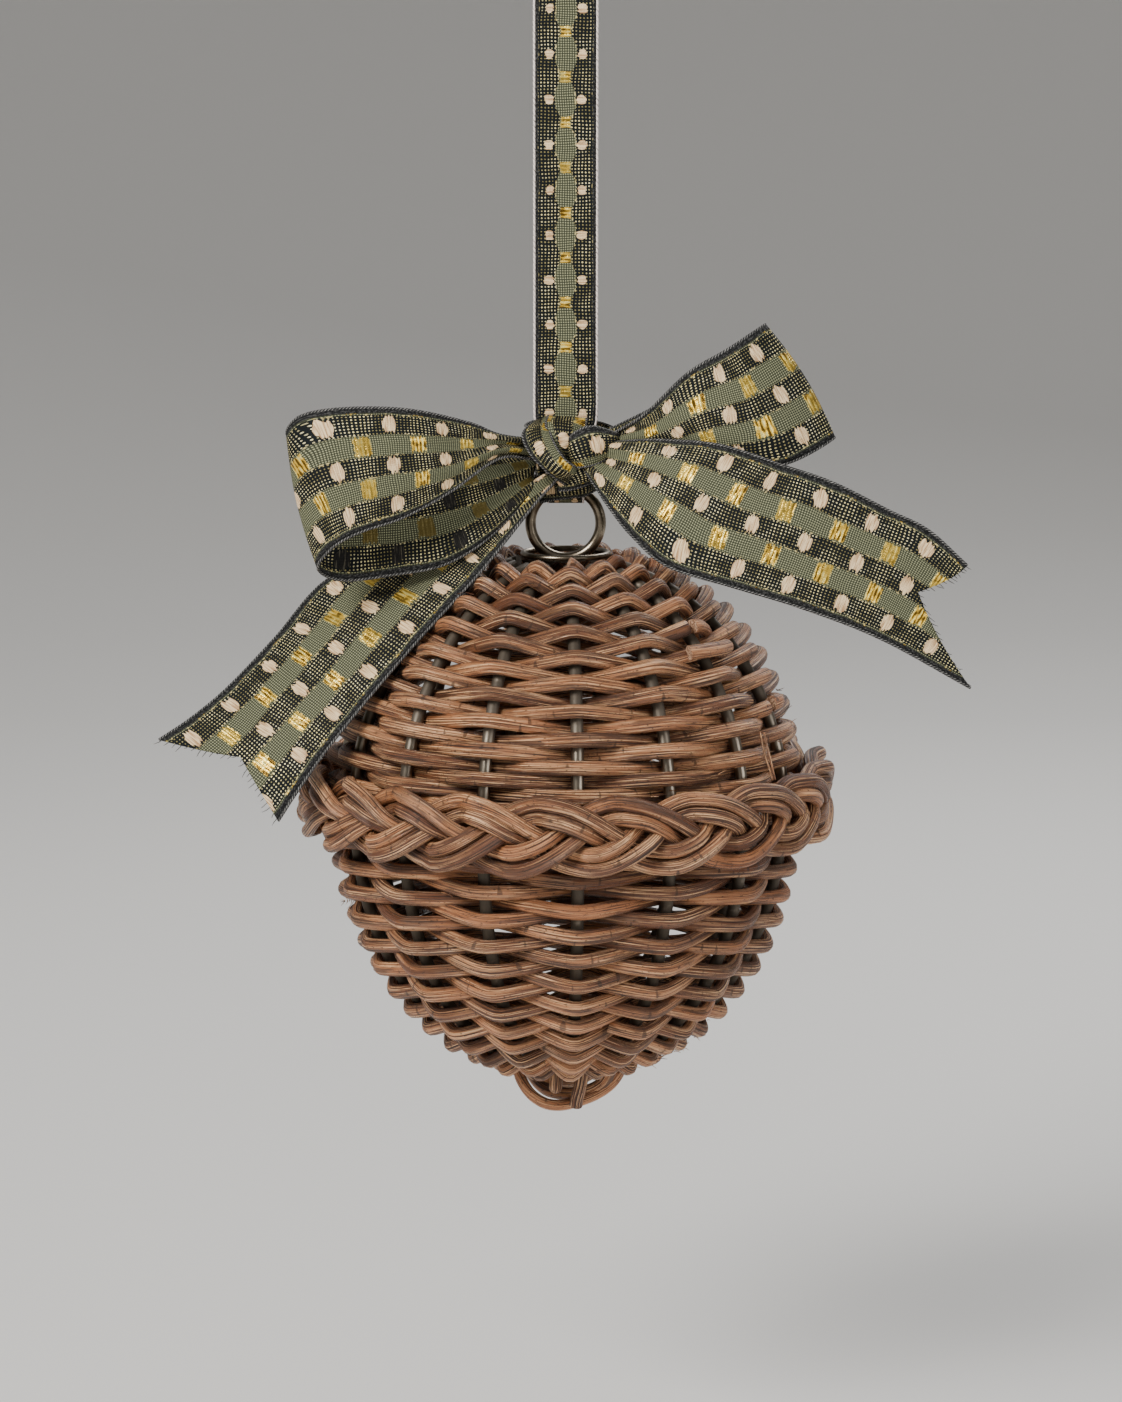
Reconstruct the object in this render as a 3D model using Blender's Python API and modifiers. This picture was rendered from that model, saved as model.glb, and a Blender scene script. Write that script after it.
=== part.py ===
"""Rattan bauble: an open acorn woven from cane over wire ribs, with a plaited band round its
waist, a metal ring at its top and a ribbon bow, all hanging from a narrow ribbon loop.

The world origin is where the ribbon loop hangs. +Z is up and the bow faces -Y.
Sizes are in millimetres and are turned into metres as the meshes are made.
"""
import math

import bmesh
import bpy
from mathutils import Vector
from mathutils.geometry import interpolate_bezier

MM = 0.001

# Shared fits
gap = 0.3

# The woven acorn
waist_height = -221.0
waist_radius = 58.0
dome_height = 62.0
bowl_height = 72.0
dome_fullness = 2.0
bowl_fullness = 2.15
rib_count = 15
rib_first_degrees = 3.0
rib_radius = 1.3
cane_radius = 1.6
row_pitch = 3.5
steepest_crossing = 0.336
weave_top_radius = 15.5
weave_bottom_radius = 15.5
canes_above_waist = 3
canes_below_waist = 3

# The plaited band round the waist
plait_strands = 3
plait_periods = 7
plait_sway = 7.9
plait_depth = 2.1
plait_phase = 0.249
strand_width = 4.4
strand_thickness = 2.0

# The wire rings
collar_radius = 11.0
collar_wire_radius = 0.8
hanger_radius = 9.1
hanger_wire_radius = 1.4
hanger_rise = 8.0

# The canes that close the tip
tip_cane_radius = 1.4
tip_spread = 13.0
tip_drop = 9.5
tip_canes = 3
tip_first_degrees = 85.0
tip_turn_degrees = 30.0
stub_length = 7.0
stub_spread = 8.5
stub_first_degrees = -16.0
stub_turn_degrees = 42.0

# The ribbons
ribbon_thickness = 0.8
strap_width = 16.0
strap_gathered_width = 9.0
strap_top_gap = 11.0
strap_knot_gap = 3.2
bow_width = 35.0
knot_width = 0.771 * bow_width
knot_depth = 0.429 * bow_width
knot_height = 0.414 * bow_width
knot_wall = 0.103 * bow_width
knot_squareness = 4.0
knot_waist = 0.93

# The bow: points on its edges, in shares of its ribbon's width from the middle of the knot
loop_left_upper = [
    (-0.429, -0.257, 0.114), (-0.714, -0.457, 0.257), (-1.143, -0.686, 0.343),
    (-1.571, -0.771, 0.343), (-1.914, -0.743, 0.257), (-2.029, -0.571, 0.143),
    (-1.914, -0.400, 0.114), (-1.543, -0.314, 0.086), (-1.143, -0.286, 0.057),
    (-0.771, -0.200, 0.029), (-0.429, -0.086, 0.029)]
loop_left_lower = [
    (-0.429, -0.286, -0.029), (-0.714, -0.571, -0.200), (-1.143, -0.829, -0.400),
    (-1.429, -0.886, -0.514), (-1.686, -0.857, -0.657), (-1.800, -0.714, -0.829),
    (-1.657, -0.571, -0.914), (-1.400, -0.514, -0.914), (-1.086, -0.514, -0.829),
    (-0.714, -0.400, -0.600), (-0.429, -0.143, -0.143)]
loop_right_upper = [
    (0.514, -0.257, 0.143), (0.629, -0.371, 0.343), (0.886, -0.486, 0.600),
    (1.171, -0.486, 0.771), (1.457, -0.286, 0.943), (1.286, -0.057, 0.800),
    (1.000, 0.057, 0.571), (0.714, 0.029, 0.343), (0.514, -0.057, 0.171)]
loop_right_lower = [
    (0.514, -0.257, 0.000), (0.800, -0.429, -0.057), (1.143, -0.543, -0.086),
    (1.600, -0.514, -0.057), (1.971, -0.286, 0.114), (1.714, -0.029, 0.029),
    (1.286, 0.057, -0.029), (0.857, 0.029, -0.057), (0.514, -0.057, 0.000)]
tail_right_upper = [
    (0.371, -0.343, 0.086), (0.771, -0.514, 0.114), (1.143, -0.629, 0.086),
    (1.600, -0.714, -0.057), (1.943, -0.771, -0.171), (2.343, -0.771, -0.371),
    (2.629, -0.771, -0.514), (2.914, -0.771, -0.771)]
tail_right_lower = [
    (0.171, -0.343, -0.086), (0.314, -0.514, -0.343), (0.486, -0.686, -0.571),
    (0.743, -0.829, -0.771), (1.229, -0.914, -0.914), (1.714, -0.971, -1.057),
    (2.286, -0.943, -1.286), (2.943, -0.857, -1.657)]
tail_right_notch = (2.686, -0.857, -0.971)
tail_left_upper = [
    (-0.429, -0.143, -0.286), (-0.829, 0.086, -0.543), (-1.314, 0.171, -0.771),
    (-1.800, 0.057, -1.000), (-2.143, -0.229, -1.371), (-2.486, -0.457, -1.714),
    (-2.743, -0.629, -1.914), (-2.971, -0.743, -2.057)]
tail_left_lower = [
    (-0.171, -0.286, -0.314), (-0.314, -0.371, -0.486), (-0.486, -0.486, -0.686),
    (-0.686, -0.600, -0.914), (-1.143, -0.771, -1.400), (-1.657, -0.914, -2.000),
    (-1.914, -1.029, -2.343), (-2.086, -1.086, -2.600)]
tail_left_notch = (-2.286, -0.886, -2.086)


def start_clean():
    """Remove what the scene holds, then add one collection for the part."""
    for old in list(bpy.data.objects):
        bpy.data.objects.remove(old, do_unlink=True)
    part = bpy.data.collections.new("rattan_bauble")
    bpy.context.scene.collection.children.link(part)
    return part


def make_material(name, color, roughness, metallic=0.0):
    """A plain Principled material."""
    material = bpy.data.materials.new(name)
    material.use_nodes = True
    shader = material.node_tree.nodes["Principled BSDF"]
    shader.inputs["Base Color"].default_value = (*color, 1.0)
    shader.inputs["Roughness"].default_value = roughness
    shader.inputs["Metallic"].default_value = metallic
    return material


def link_object(name, data, material):
    """Put new geometry in the part's collection, in a material of its own."""
    data.materials.append(material)
    thing = bpy.data.objects.new(name, data)
    collection.objects.link(thing)
    return thing


def wire(name, points, radius, material, thickness=None, closed=False, resolution=0):
    """A wire or cane along points in millimetres, with filled ends."""
    curve = bpy.data.curves.new(name, "CURVE")
    curve.dimensions = "3D"
    curve.twist_mode = "Z_UP"
    curve.bevel_depth = radius * MM
    curve.bevel_resolution = resolution
    curve.use_fill_caps = not closed
    spline = curve.splines.new("POLY")
    spline.points.add(len(points) - 1)
    for index, (target, place) in enumerate(zip(spline.points, points)):
        target.co = (*(Vector(place) * MM), 1.0)
        target.radius = thickness[index] if thickness else 1.0
    spline.use_cyclic_u = closed
    return link_object(name, curve, material)


def smooth_line(points, steps):
    """Points along a smooth curve through the given ones, with steps to each span."""
    line = [Vector(p) for p in points]
    padded = [2 * line[0] - line[1], *line, 2 * line[-1] - line[-2]]
    smooth = []
    for before, start, end, after in zip(padded, padded[1:], padded[2:], padded[3:]):
        handle_out = start + (end - before) / 6
        handle_in = end - (after - start) / 6
        smooth += interpolate_bezier(start, handle_out, handle_in, end, steps + 1)[:-1]
    return smooth + [line[-1]]


def strip(name, rails, thickness, material, closed=False):
    """A band between two or more rails, given its thickness by Solidify."""
    rows = len(rails[0])
    lanes = len(rails)
    mesh_builder = bmesh.new()
    bmesh.ops.create_grid(mesh_builder, x_segments=lanes - 1, y_segments=rows - 1, size=0.5)
    mesh_builder.verts.ensure_lookup_table()
    for vert in mesh_builder.verts:
        lane = round((vert.co.x + 0.5) * (lanes - 1))
        row = round((vert.co.y + 0.5) * (rows - 1))
        vert.co = Vector(rails[lane][row]) * MM
    if closed:
        bmesh.ops.remove_doubles(mesh_builder, verts=mesh_builder.verts, dist=0.01 * MM)
    mesh = bpy.data.meshes.new(name)
    mesh_builder.to_mesh(mesh)
    mesh_builder.free()
    band = link_object(name, mesh, material)
    shell = band.modifiers.new("thickness", "SOLIDIFY")
    shell.thickness = thickness * MM
    shell.offset = 0.0
    shell.use_even_offset = True
    return band


def wall_radius(height):
    """Radius of the ribs' centre line at a height over the waist."""
    if height >= 0:
        return waist_radius * math.sqrt(max(0.0, 1 - (height / dome_height) ** dome_fullness))
    return waist_radius * math.sqrt(max(0.0, 1 - (-height / bowl_height) ** bowl_fullness))


def height_at(radius, above):
    """Height over the waist at which the ribs' centre line has this radius."""
    share = 1 - (radius / waist_radius) ** 2
    if above:
        return dome_height * share ** (1 / dome_fullness)
    return -bowl_height * share ** (1 / bowl_fullness)


def wall_line(start_radius, end_radius, above, steps=600):
    """(arc length, radius, height) down the ribs, from the smaller radius at a dome's top or
    from the waist in the bowl."""
    radii = []
    for step in range(steps + 1):
        angle_start = math.asin(start_radius / waist_radius)
        angle_end = math.asin(end_radius / waist_radius)
        angle = angle_start + (angle_end - angle_start) * step / steps
        radii.append(waist_radius * math.sin(angle))
    line = []
    travelled = 0.0
    for radius in radii:
        height = height_at(radius, above)
        if line:
            travelled += math.hypot(radius - line[-1][1], height - line[-1][2])
        line.append((travelled, radius, height))
    return line


def point_on(line, travelled):
    """Radius, height and outward direction at an arc length along a wall line."""
    low = 0
    high = len(line) - 1
    while high - low > 1:
        middle = (low + high) // 2
        if line[middle][0] <= travelled:
            low = middle
        else:
            high = middle
    share = (travelled - line[low][0]) / (line[high][0] - line[low][0])
    radius = line[low][1] + share * (line[high][1] - line[low][1])
    height = line[low][2] + share * (line[high][2] - line[low][2])
    along = Vector((line[high][1] - line[low][1], line[high][2] - line[low][2])).normalized()
    return radius, height, Vector((-along.y, along.x))


def around(azimuth, radius, height):
    """A world point from degrees round the axis (0 is the front, 90 the right), a radius and
    a height over the waist."""
    turn = math.radians(azimuth)
    return Vector((radius * math.sin(turn), -radius * math.cos(turn), waist_height + height))


def rib_azimuth(index):
    return rib_first_degrees + index * 360 / rib_count


def crossing_at(radius):
    """Cane thickness share and offset from the rib where the ribs stand this far from the axis."""
    spacing = 2 * radius * math.sin(math.pi / rib_count)
    reach = min(rib_radius + gap + cane_radius, steepest_crossing * spacing)
    offset = 1 / math.sqrt(1 / reach ** 2 - 4 / spacing ** 2)
    return (reach - rib_radius - gap) / cane_radius, offset


def make_ribs():
    """The wire ribs, from under the collar to the tip."""
    top_radius = collar_radius + collar_wire_radius + gap + rib_radius
    tip_radius = rib_count * (2 * rib_radius + gap) / math.tau
    angles = [math.asin(top_radius / waist_radius)]
    samples = 5
    rows = []
    for step in range(samples):
        angle = angles[0] + (math.pi / 2 - angles[0]) * step / samples
        radius = waist_radius * math.sin(angle)
        rows.append((radius, height_at(radius, True)))
    last_angle = math.asin(tip_radius / waist_radius)
    for step in range(samples + 1):
        angle = math.pi / 2 + (last_angle - math.pi / 2) * step / samples
        radius = waist_radius * math.sin(angle)
        rows.append((radius, height_at(radius, False)))
    for index in range(rib_count):
        points = [around(rib_azimuth(index), radius, height) for radius, height in rows]
        material = make_material(f"rib_wire_{index + 1:02d}", (0.42, 0.41, 0.39), 0.38, 1.0)
        wire(f"rib_{index + 1:02d}", points, rib_radius, material)


def weave_point(line, travelled, index):
    """Where a cane passes a rib: in front of it at every other crossing."""
    radius, height, outward = point_on(line, travelled)
    share, offset = crossing_at(radius)
    side = 1 if index % 2 == 0 else -1
    place = around(rib_azimuth(index), radius + side * offset * outward.x,
                   height + side * offset * outward.y)
    return place, share


def make_weave(name, line, first_index, canes):
    """Canes woven in one rising or falling spiral, cut end to end between two ribs."""
    crossings = int(line[-1][0] / row_pitch * rib_count)
    per_cane = crossings // canes
    for cane in range(canes):
        start = cane * per_cane
        end = start + per_cane if cane < canes - 1 else crossings
        passes = [weave_point(line, row_pitch * index / rib_count, index + first_index)
                  for index in range(start, end + 1)]
        places = [place for place, share in passes]
        shares = [share for place, share in passes]
        half_cut = 0.5 - gap / (places[0] - places[1]).length
        if cane > 0:
            places[0] = places[1].lerp(places[0], half_cut)
        if cane < canes - 1:
            half_cut = 0.5 - gap / (places[-1] - places[-2]).length
            places[-1] = places[-2].lerp(places[-1], half_cut)
        material = make_material(f"{name}_{cane + 1}", (0.30, 0.13, 0.06), 0.55)
        wire(f"{name}_{cane + 1}", places, cane_radius, material, shares)


def make_plait():
    """Three flat strands plaited round the waist."""
    weave_face = waist_radius + crossing_at(waist_radius)[1] + cane_radius
    centre_radius = weave_face + gap + plait_depth + strand_thickness / 2
    samples = plait_periods * 8
    sweep = 1 - gap / (math.tau * centre_radius)
    for strand in range(plait_strands):
        upper = []
        lower = []
        for step in range(samples + 1):
            turn = sweep * step / samples
            phase = math.tau * (plait_periods * turn + strand / plait_strands + plait_phase)
            slope = plait_sway * math.cos(phase) * plait_periods / centre_radius
            sway = plait_sway * math.sin(phase)
            depth = -plait_depth * math.tanh(2.2 * math.sin(2 * phase))
            lean = math.atan(slope)
            half = strand_width / 2
            side_turn = math.degrees(half * math.sin(lean) / centre_radius)
            azimuth = 360 * turn - 90
            radius = centre_radius + depth
            upper.append(around(azimuth - side_turn, radius, sway + half * math.cos(lean)))
            lower.append(around(azimuth + side_turn, radius, sway - half * math.cos(lean)))
        material = make_material(f"plait_strand_{strand + 1}", (0.31, 0.14, 0.065), 0.5)
        strip(f"plait_strand_{strand + 1}", [lower, upper], strand_thickness, material)


def make_ring(name, radius, wire_radius, centre, upright, color):
    """A round wire ring, flat or upright."""
    bpy.ops.mesh.primitive_torus_add(major_radius=radius * MM, minor_radius=wire_radius * MM,
                                     major_segments=20, minor_segments=6)
    ring = bpy.context.active_object
    ring.name = name
    ring.data.name = name
    ring.location = Vector(centre) * MM
    ring.rotation_euler = (math.pi / 2 if upright else 0.0, 0.0, 0.0)
    for owner in list(ring.users_collection):
        owner.objects.unlink(ring)
    collection.objects.link(ring)
    ring.data.materials.append(make_material(name, color, 0.35, 1.0))
    for face in ring.data.polygons:
        face.use_smooth = True


def make_rings():
    """The flat collar that the ribs hang from, and the hanging ring that stands in it."""
    collar_height = waist_height + height_at(collar_radius + collar_wire_radius, True)
    collar_height += rib_radius + collar_wire_radius
    make_ring("top_collar", collar_radius, collar_wire_radius, (0, 0, collar_height), False,
              (0.36, 0.31, 0.22))
    centre_height = collar_height + hanger_rise
    make_ring("hanging_ring", hanger_radius, hanger_wire_radius, (0, 0, centre_height), True,
              (0.38, 0.31, 0.21))
    return centre_height + hanger_radius


def make_tip():
    """Canes that cross under the tip, and two cut ends between them."""
    spring = height_at(weave_bottom_radius, False) - rib_radius - tip_cane_radius - 2 * gap
    step_down = 2 * tip_cane_radius + gap
    shallowest = tip_drop - (tip_canes - 1) * step_down
    for cane in range(tip_canes):
        drop = tip_drop - cane * step_down
        azimuth = tip_first_degrees + tip_turn_degrees * ((cane + 1) // 2) * (-1) ** cane
        points = []
        for step in range(9):
            angle = math.pi * step / 8
            points.append(around(azimuth, tip_spread * math.cos(angle),
                                 spring - drop * math.sin(angle)))
        material = make_material(f"tip_cane_{cane + 1}", (0.32, 0.14, 0.06), 0.55)
        wire(f"tip_cane_{cane + 1}", points, tip_cane_radius, material)
    for stub in range(2):
        azimuth = stub_first_degrees + stub * stub_turn_degrees
        top = around(azimuth, stub_spread, spring - shallowest / 2)
        foot = around(azimuth, stub_spread * 0.75, spring - shallowest / 2 - stub_length)
        material = make_material(f"tip_stub_{stub + 1}", (0.33, 0.15, 0.07), 0.6)
        wire(f"tip_stub_{stub + 1}", [top, foot], tip_cane_radius, material, resolution=1)


def make_strap(ring_top):
    """The narrow ribbon loop, from the hook down through the hanging ring."""
    knot_bottom = ring_top + hanger_wire_radius + gap + 1.5
    knot_top = knot_bottom + knot_height
    half_top = (strap_top_gap + ribbon_thickness) / 2
    half_knot = (strap_knot_gap + ribbon_thickness) / 2
    under = hanger_wire_radius + 3 * gap + ribbon_thickness / 2
    arc_height = ring_top - 1.0
    path = []
    for step in range(9):
        angle = math.pi * step / 8
        path.append((-half_top * math.cos(angle),
                     -half_top - ribbon_thickness / 2 + half_top * math.sin(angle), strap_width))
    path.append((half_knot, knot_top + 2, strap_width))
    path.append((half_knot, knot_bottom + 1, strap_gathered_width))
    for step in range(7):
        angle = math.pi * step / 6
        path.append((under * math.cos(angle), arc_height - under * math.sin(angle),
                     strap_gathered_width))
    path.append((-half_knot, knot_bottom + 1, strap_gathered_width))
    path.append((-half_knot, knot_top + 2, strap_width))
    path.append(path[0])
    left = [(-width / 2, depth, height) for depth, height, width in path]
    right = [(width / 2, depth, height) for depth, height, width in path]
    strip("hanging_ribbon", [left, right], ribbon_thickness,
          make_material("hanging_ribbon", (0.22, 0.24, 0.14), 0.6), closed=True)
    return knot_bottom, knot_top


def make_knot(knot_bottom, knot_top):
    """The knot: the bow ribbon wrapped round the strap."""
    rails = []
    for share, bulge in ((0, knot_waist), (0.5, 1.0), (1, knot_waist)):
        ring = []
        for step in range(25):
            angle = math.tau * step / 24
            reach = (abs(math.cos(angle)) ** knot_squareness
                     + abs(math.sin(angle)) ** knot_squareness) ** (-1 / knot_squareness)
            half_width = (knot_width - knot_wall) / 2
            half_depth = (knot_depth - knot_wall) / 2
            ring.append((half_width * reach * math.cos(angle) * bulge,
                         half_depth * reach * math.sin(angle),
                         knot_bottom + share * (knot_top - knot_bottom)))
        rails.append(ring)
    strip("bow_knot", rails, knot_wall, make_material("bow_knot", (0.20, 0.22, 0.13), 0.6),
          closed=True)


def ribbon(name, upper, lower, steps=2, notch=None):
    """A bow ribbon between an upper and a lower edge, with a notched end if one is given."""
    top = smooth_line(upper, steps)
    bottom = smooth_line(lower, steps)
    rails = [bottom, top]
    if notch:
        middle = [a.lerp(b, 0.5) for a, b in zip(bottom, top)]
        middle[-1] = Vector(notch)
        rails = [bottom, middle, top]
    strip(name, rails, ribbon_thickness, make_material(name, (0.24, 0.27, 0.16), 0.6))


def bow_edge(shares, knot_middle):
    """A ribbon edge from shares of the bow's width, measured from the middle of the knot."""
    return [(x * bow_width, y * bow_width, knot_middle + z * bow_width) for x, y, z in shares]


def make_bow(knot_middle):
    """Two loops and two swallow tails, each edge drawn through points read from its pose."""
    for name, upper, lower, notch in (
            ("bow_loop_left", loop_left_upper, loop_left_lower, None),
            ("bow_loop_right", loop_right_upper, loop_right_lower, None),
            ("bow_tail_right", tail_right_upper, tail_right_lower, tail_right_notch),
            ("bow_tail_left", tail_left_upper, tail_left_lower, tail_left_notch)):
        ribbon(name, bow_edge(upper, knot_middle), bow_edge(lower, knot_middle),
               notch=bow_edge([notch], knot_middle)[0] if notch else None)


collection = start_clean()
make_ribs()
dome_line = wall_line(weave_top_radius, waist_radius, True)
bowl_line = wall_line(waist_radius, weave_bottom_radius, False)
dome_crossings = int(dome_line[-1][0] / row_pitch * rib_count)
make_weave("dome_cane", dome_line, 0, canes_above_waist)
make_weave("bowl_cane", bowl_line, dome_crossings + 1, canes_below_waist)
make_plait()
ring_top_height = make_rings()
make_tip()
bottom_of_knot, top_of_knot = make_strap(ring_top_height)
make_knot(bottom_of_knot, top_of_knot)
make_bow((bottom_of_knot + top_of_knot) / 2)
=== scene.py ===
# %% [markdown]
# A rattan bauble hangs from a ribbon.

# %% Load the imported part
import math
import bmesh
import bpy
from mathutils import Matrix, Vector, noise


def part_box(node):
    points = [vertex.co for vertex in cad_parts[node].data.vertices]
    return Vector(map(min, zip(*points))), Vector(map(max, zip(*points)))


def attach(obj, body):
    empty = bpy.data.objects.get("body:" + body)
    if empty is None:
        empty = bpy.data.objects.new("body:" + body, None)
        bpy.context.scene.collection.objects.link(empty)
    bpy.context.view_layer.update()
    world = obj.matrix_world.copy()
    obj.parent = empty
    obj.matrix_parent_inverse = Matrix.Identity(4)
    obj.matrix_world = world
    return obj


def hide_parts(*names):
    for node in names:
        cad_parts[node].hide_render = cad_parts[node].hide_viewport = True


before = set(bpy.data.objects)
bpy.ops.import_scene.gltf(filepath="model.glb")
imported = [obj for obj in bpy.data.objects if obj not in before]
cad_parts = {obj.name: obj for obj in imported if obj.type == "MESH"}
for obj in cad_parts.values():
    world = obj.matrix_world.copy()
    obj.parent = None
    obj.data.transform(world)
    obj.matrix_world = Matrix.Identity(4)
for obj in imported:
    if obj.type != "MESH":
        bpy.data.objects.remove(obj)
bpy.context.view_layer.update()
MM = 0.001
print("nodes in the frame:", len(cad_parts))

# %% [markdown]
# The camera comes before the pieces, so that each one can be looked at as soon as it is made.
# The photograph looks slightly down on the bauble from more than a metre away, which a long lens
# shows without much perspective.

# %% Camera
camera_distance = 1.2
camera_pitch = math.radians(8.8)
camera_target = Vector((-1.2, 0.0, -197.0)) * MM
camera_data = bpy.data.cameras.new("camera")
camera_data.lens = 118.0
camera = bpy.data.objects.new("camera", camera_data)
camera.location = camera_target + camera_distance * Vector(
    (0.0, -math.cos(camera_pitch), math.sin(camera_pitch)))
camera.rotation_euler = (math.pi / 2 - camera_pitch, 0.0, 0.0)
bpy.context.scene.collection.objects.link(camera)
bpy.context.scene.camera = camera
print("camera stands at", [round(value, 3) for value in camera.location])

# %% [markdown]
# A plain studio: a pale floor that curves up on every side like a shallow bowl, so that no
# horizon shows, a large soft light from the left and above, a weaker one from the right, and one
# behind that draws a rim on the cane. A single hard lamp would hide the weave in its shadows.

# %% Studio
floor_height = -0.40
floor_reach = 5.0
flat_radius = 1.2
floor_rise = 0.22
floor_bowl = bmesh.new()
bmesh.ops.create_grid(floor_bowl, x_segments=48, y_segments=48, size=floor_reach)
for vert in floor_bowl.verts:
    outside = max(0.0, vert.co.xy.length - flat_radius)
    vert.co.z = floor_height + floor_rise * outside ** 2
for face in floor_bowl.faces:
    face.smooth = True
floor_mesh = bpy.data.meshes.new("studio_floor")
floor_bowl.to_mesh(floor_mesh)
floor_bowl.free()
studio_floor = bpy.data.objects.new("studio_floor", floor_mesh)
bpy.context.scene.collection.objects.link(studio_floor)
floor_paint = bpy.data.materials.new("studio_floor")
floor_paint.use_nodes = True
floor_shader = floor_paint.node_tree.nodes["Principled BSDF"]
floor_shader.inputs["Base Color"].default_value = (0.78, 0.77, 0.75, 1.0)
floor_shader.inputs["Roughness"].default_value = 0.9
floor_mesh.materials.append(floor_paint)


def soft_light(name, place, size, power, color):
    """A square area light that faces the bauble."""
    lamp = bpy.data.lights.new(name, "AREA")
    lamp.size = size
    lamp.energy = power
    lamp.color = color
    holder = bpy.data.objects.new(name, lamp)
    holder.location = place
    holder.rotation_euler = (camera_target - Vector(place)).to_track_quat("-Z", "Y").to_euler()
    bpy.context.scene.collection.objects.link(holder)


soft_light("key_light", (-0.75, -0.9, 0.65), 0.6, 23.0, (1.0, 0.98, 0.95))
soft_light("fill_light", (1.1, -0.8, 0.1), 0.9, 7.0, (0.98, 0.99, 1.0))
soft_light("rim_light", (0.45, 0.9, 0.65), 0.7, 10.0, (1.0, 1.0, 1.0))
sky = bpy.data.worlds.new("studio_air")
sky.use_nodes = True
background = sky.node_tree.nodes["Background"]
background.inputs["Color"].default_value = (0.84, 0.83, 0.82, 1.0)
background.inputs["Strength"].default_value = 0.30
bpy.context.scene.world = sky
print("studio floor lies at", floor_height)

# %% [markdown]
# Every finish below is a node tree. A bench keeps the trees readable: it places a node, gives it
# its values and wires it to what feeds it, in one line. Building them by hand in the editor would
# be quicker to see, but can't be repeated by a script.

# %% Helpers for materials


class NodeBench:
    """Adds nodes to one tree and wires them as they are made."""

    def __init__(self, tree):
        self.tree = tree

    def add(self, kind, feeds=None, **settings):
        node = self.tree.nodes.new(kind)
        for key, value in settings.items():
            setattr(node, key, value)
        for socket, source in (feeds or {}).items():
            if isinstance(source, bpy.types.NodeSocket):
                self.tree.links.new(source, node.inputs[socket])
            else:
                node.inputs[socket].default_value = source
        return node

    def math(self, operation, first, second=0.0, third=0.0):
        feeds = {0: first, 1: second, 2: third}
        return self.add("ShaderNodeMath", feeds, operation=operation).outputs[0]

    def times(self, first, second):
        return self.math("MULTIPLY", first, second)

    def plus(self, first, second):
        return self.math("ADD", first, second)

    def minus(self, first, second):
        return self.math("SUBTRACT", first, second)

    def off_centre(self, place, pitch):
        """How far a place, counted in pitches, lies from the nearest whole one."""
        return self.times(self.minus(place, self.math("ROUND", place)), pitch)

    def vector(self, x, y, z=0.0):
        return self.add("ShaderNodeCombineXYZ", {0: x, 1: y, 2: z}).outputs[0]

    def noise(self, place, scale, detail=2.0, roughness=0.5):
        node = self.add("ShaderNodeTexNoise", {"Vector": place, "Scale": scale, "Detail": detail,
                                               "Roughness": roughness})
        return node.outputs["Fac"]

    def grain(self, along, across, detail=2.0, roughness=0.5):
        """Noise stretched by two (socket, rate per metre) pairs, one for each way."""
        place = self.vector(self.times(*along), self.times(*across))
        return self.noise(place, 1.0, detail, roughness)

    def step(self, value, low, high, to_low=0.0, to_high=1.0):
        feeds = {"Value": value, "From Min": low, "From Max": high, "To Min": to_low,
                 "To Max": to_high}
        return self.add("ShaderNodeMapRange", feeds, interpolation_type="SMOOTHSTEP").outputs[0]

    def mix(self, share, first, second):
        feeds = {0: share, 6: first, 7: second}
        return self.add("ShaderNodeMix", feeds, data_type="RGBA").outputs[2]

    def veil(self, mask, low, high, strength, under, over):
        """Lay one colour over another as the mask goes from low to high."""
        return self.mix(self.times(self.step(mask, low, high), strength), under, over)

    def feed(self, source, target):
        self.tree.links.new(source, target)

    def uv_ways(self):
        """The UV map's metres along the piece, and across or around it."""
        uv = self.add("ShaderNodeUVMap", uv_map="UVMap").outputs[0]
        split = self.add("ShaderNodeSeparateXYZ", {0: uv}).outputs
        return split[0], split[1]

    def bump(self, shader, height, strength, distance):
        """Let a height raise and sink the shader's surface."""
        feeds = {"Strength": strength, "Distance": distance, "Height": height}
        self.feed(self.add("ShaderNodeBump", feeds).outputs[0], shader.inputs["Normal"])


def new_group(name, inputs, outputs):
    """A shader node group with float or colour sockets, and a bench to fill it."""
    group = bpy.data.node_groups.new(name, "ShaderNodeTree")
    for socket, kind, value in inputs:
        item = group.interface.new_socket(socket, in_out="INPUT", socket_type=kind)
        if value is not None:
            item.default_value = value
    for socket, kind in outputs:
        group.interface.new_socket(socket, in_out="OUTPUT", socket_type=kind)
    bench = NodeBench(group)
    entry = bench.add("NodeGroupInput")
    exit_node = bench.add("NodeGroupOutput")
    return group, bench, entry.outputs, exit_node


def new_material(name, color, roughness, metallic=0.0):
    """A material with its Principled shader, and a bench to add to it."""
    material = bpy.data.materials.new(name)
    material.use_nodes = True
    shader = material.node_tree.nodes["Principled BSDF"]
    shader.inputs["Base Color"].default_value = (*color, 1.0)
    shader.inputs["Roughness"].default_value = roughness
    shader.inputs["Metallic"].default_value = metallic
    return material, NodeBench(material.node_tree), shader
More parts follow.
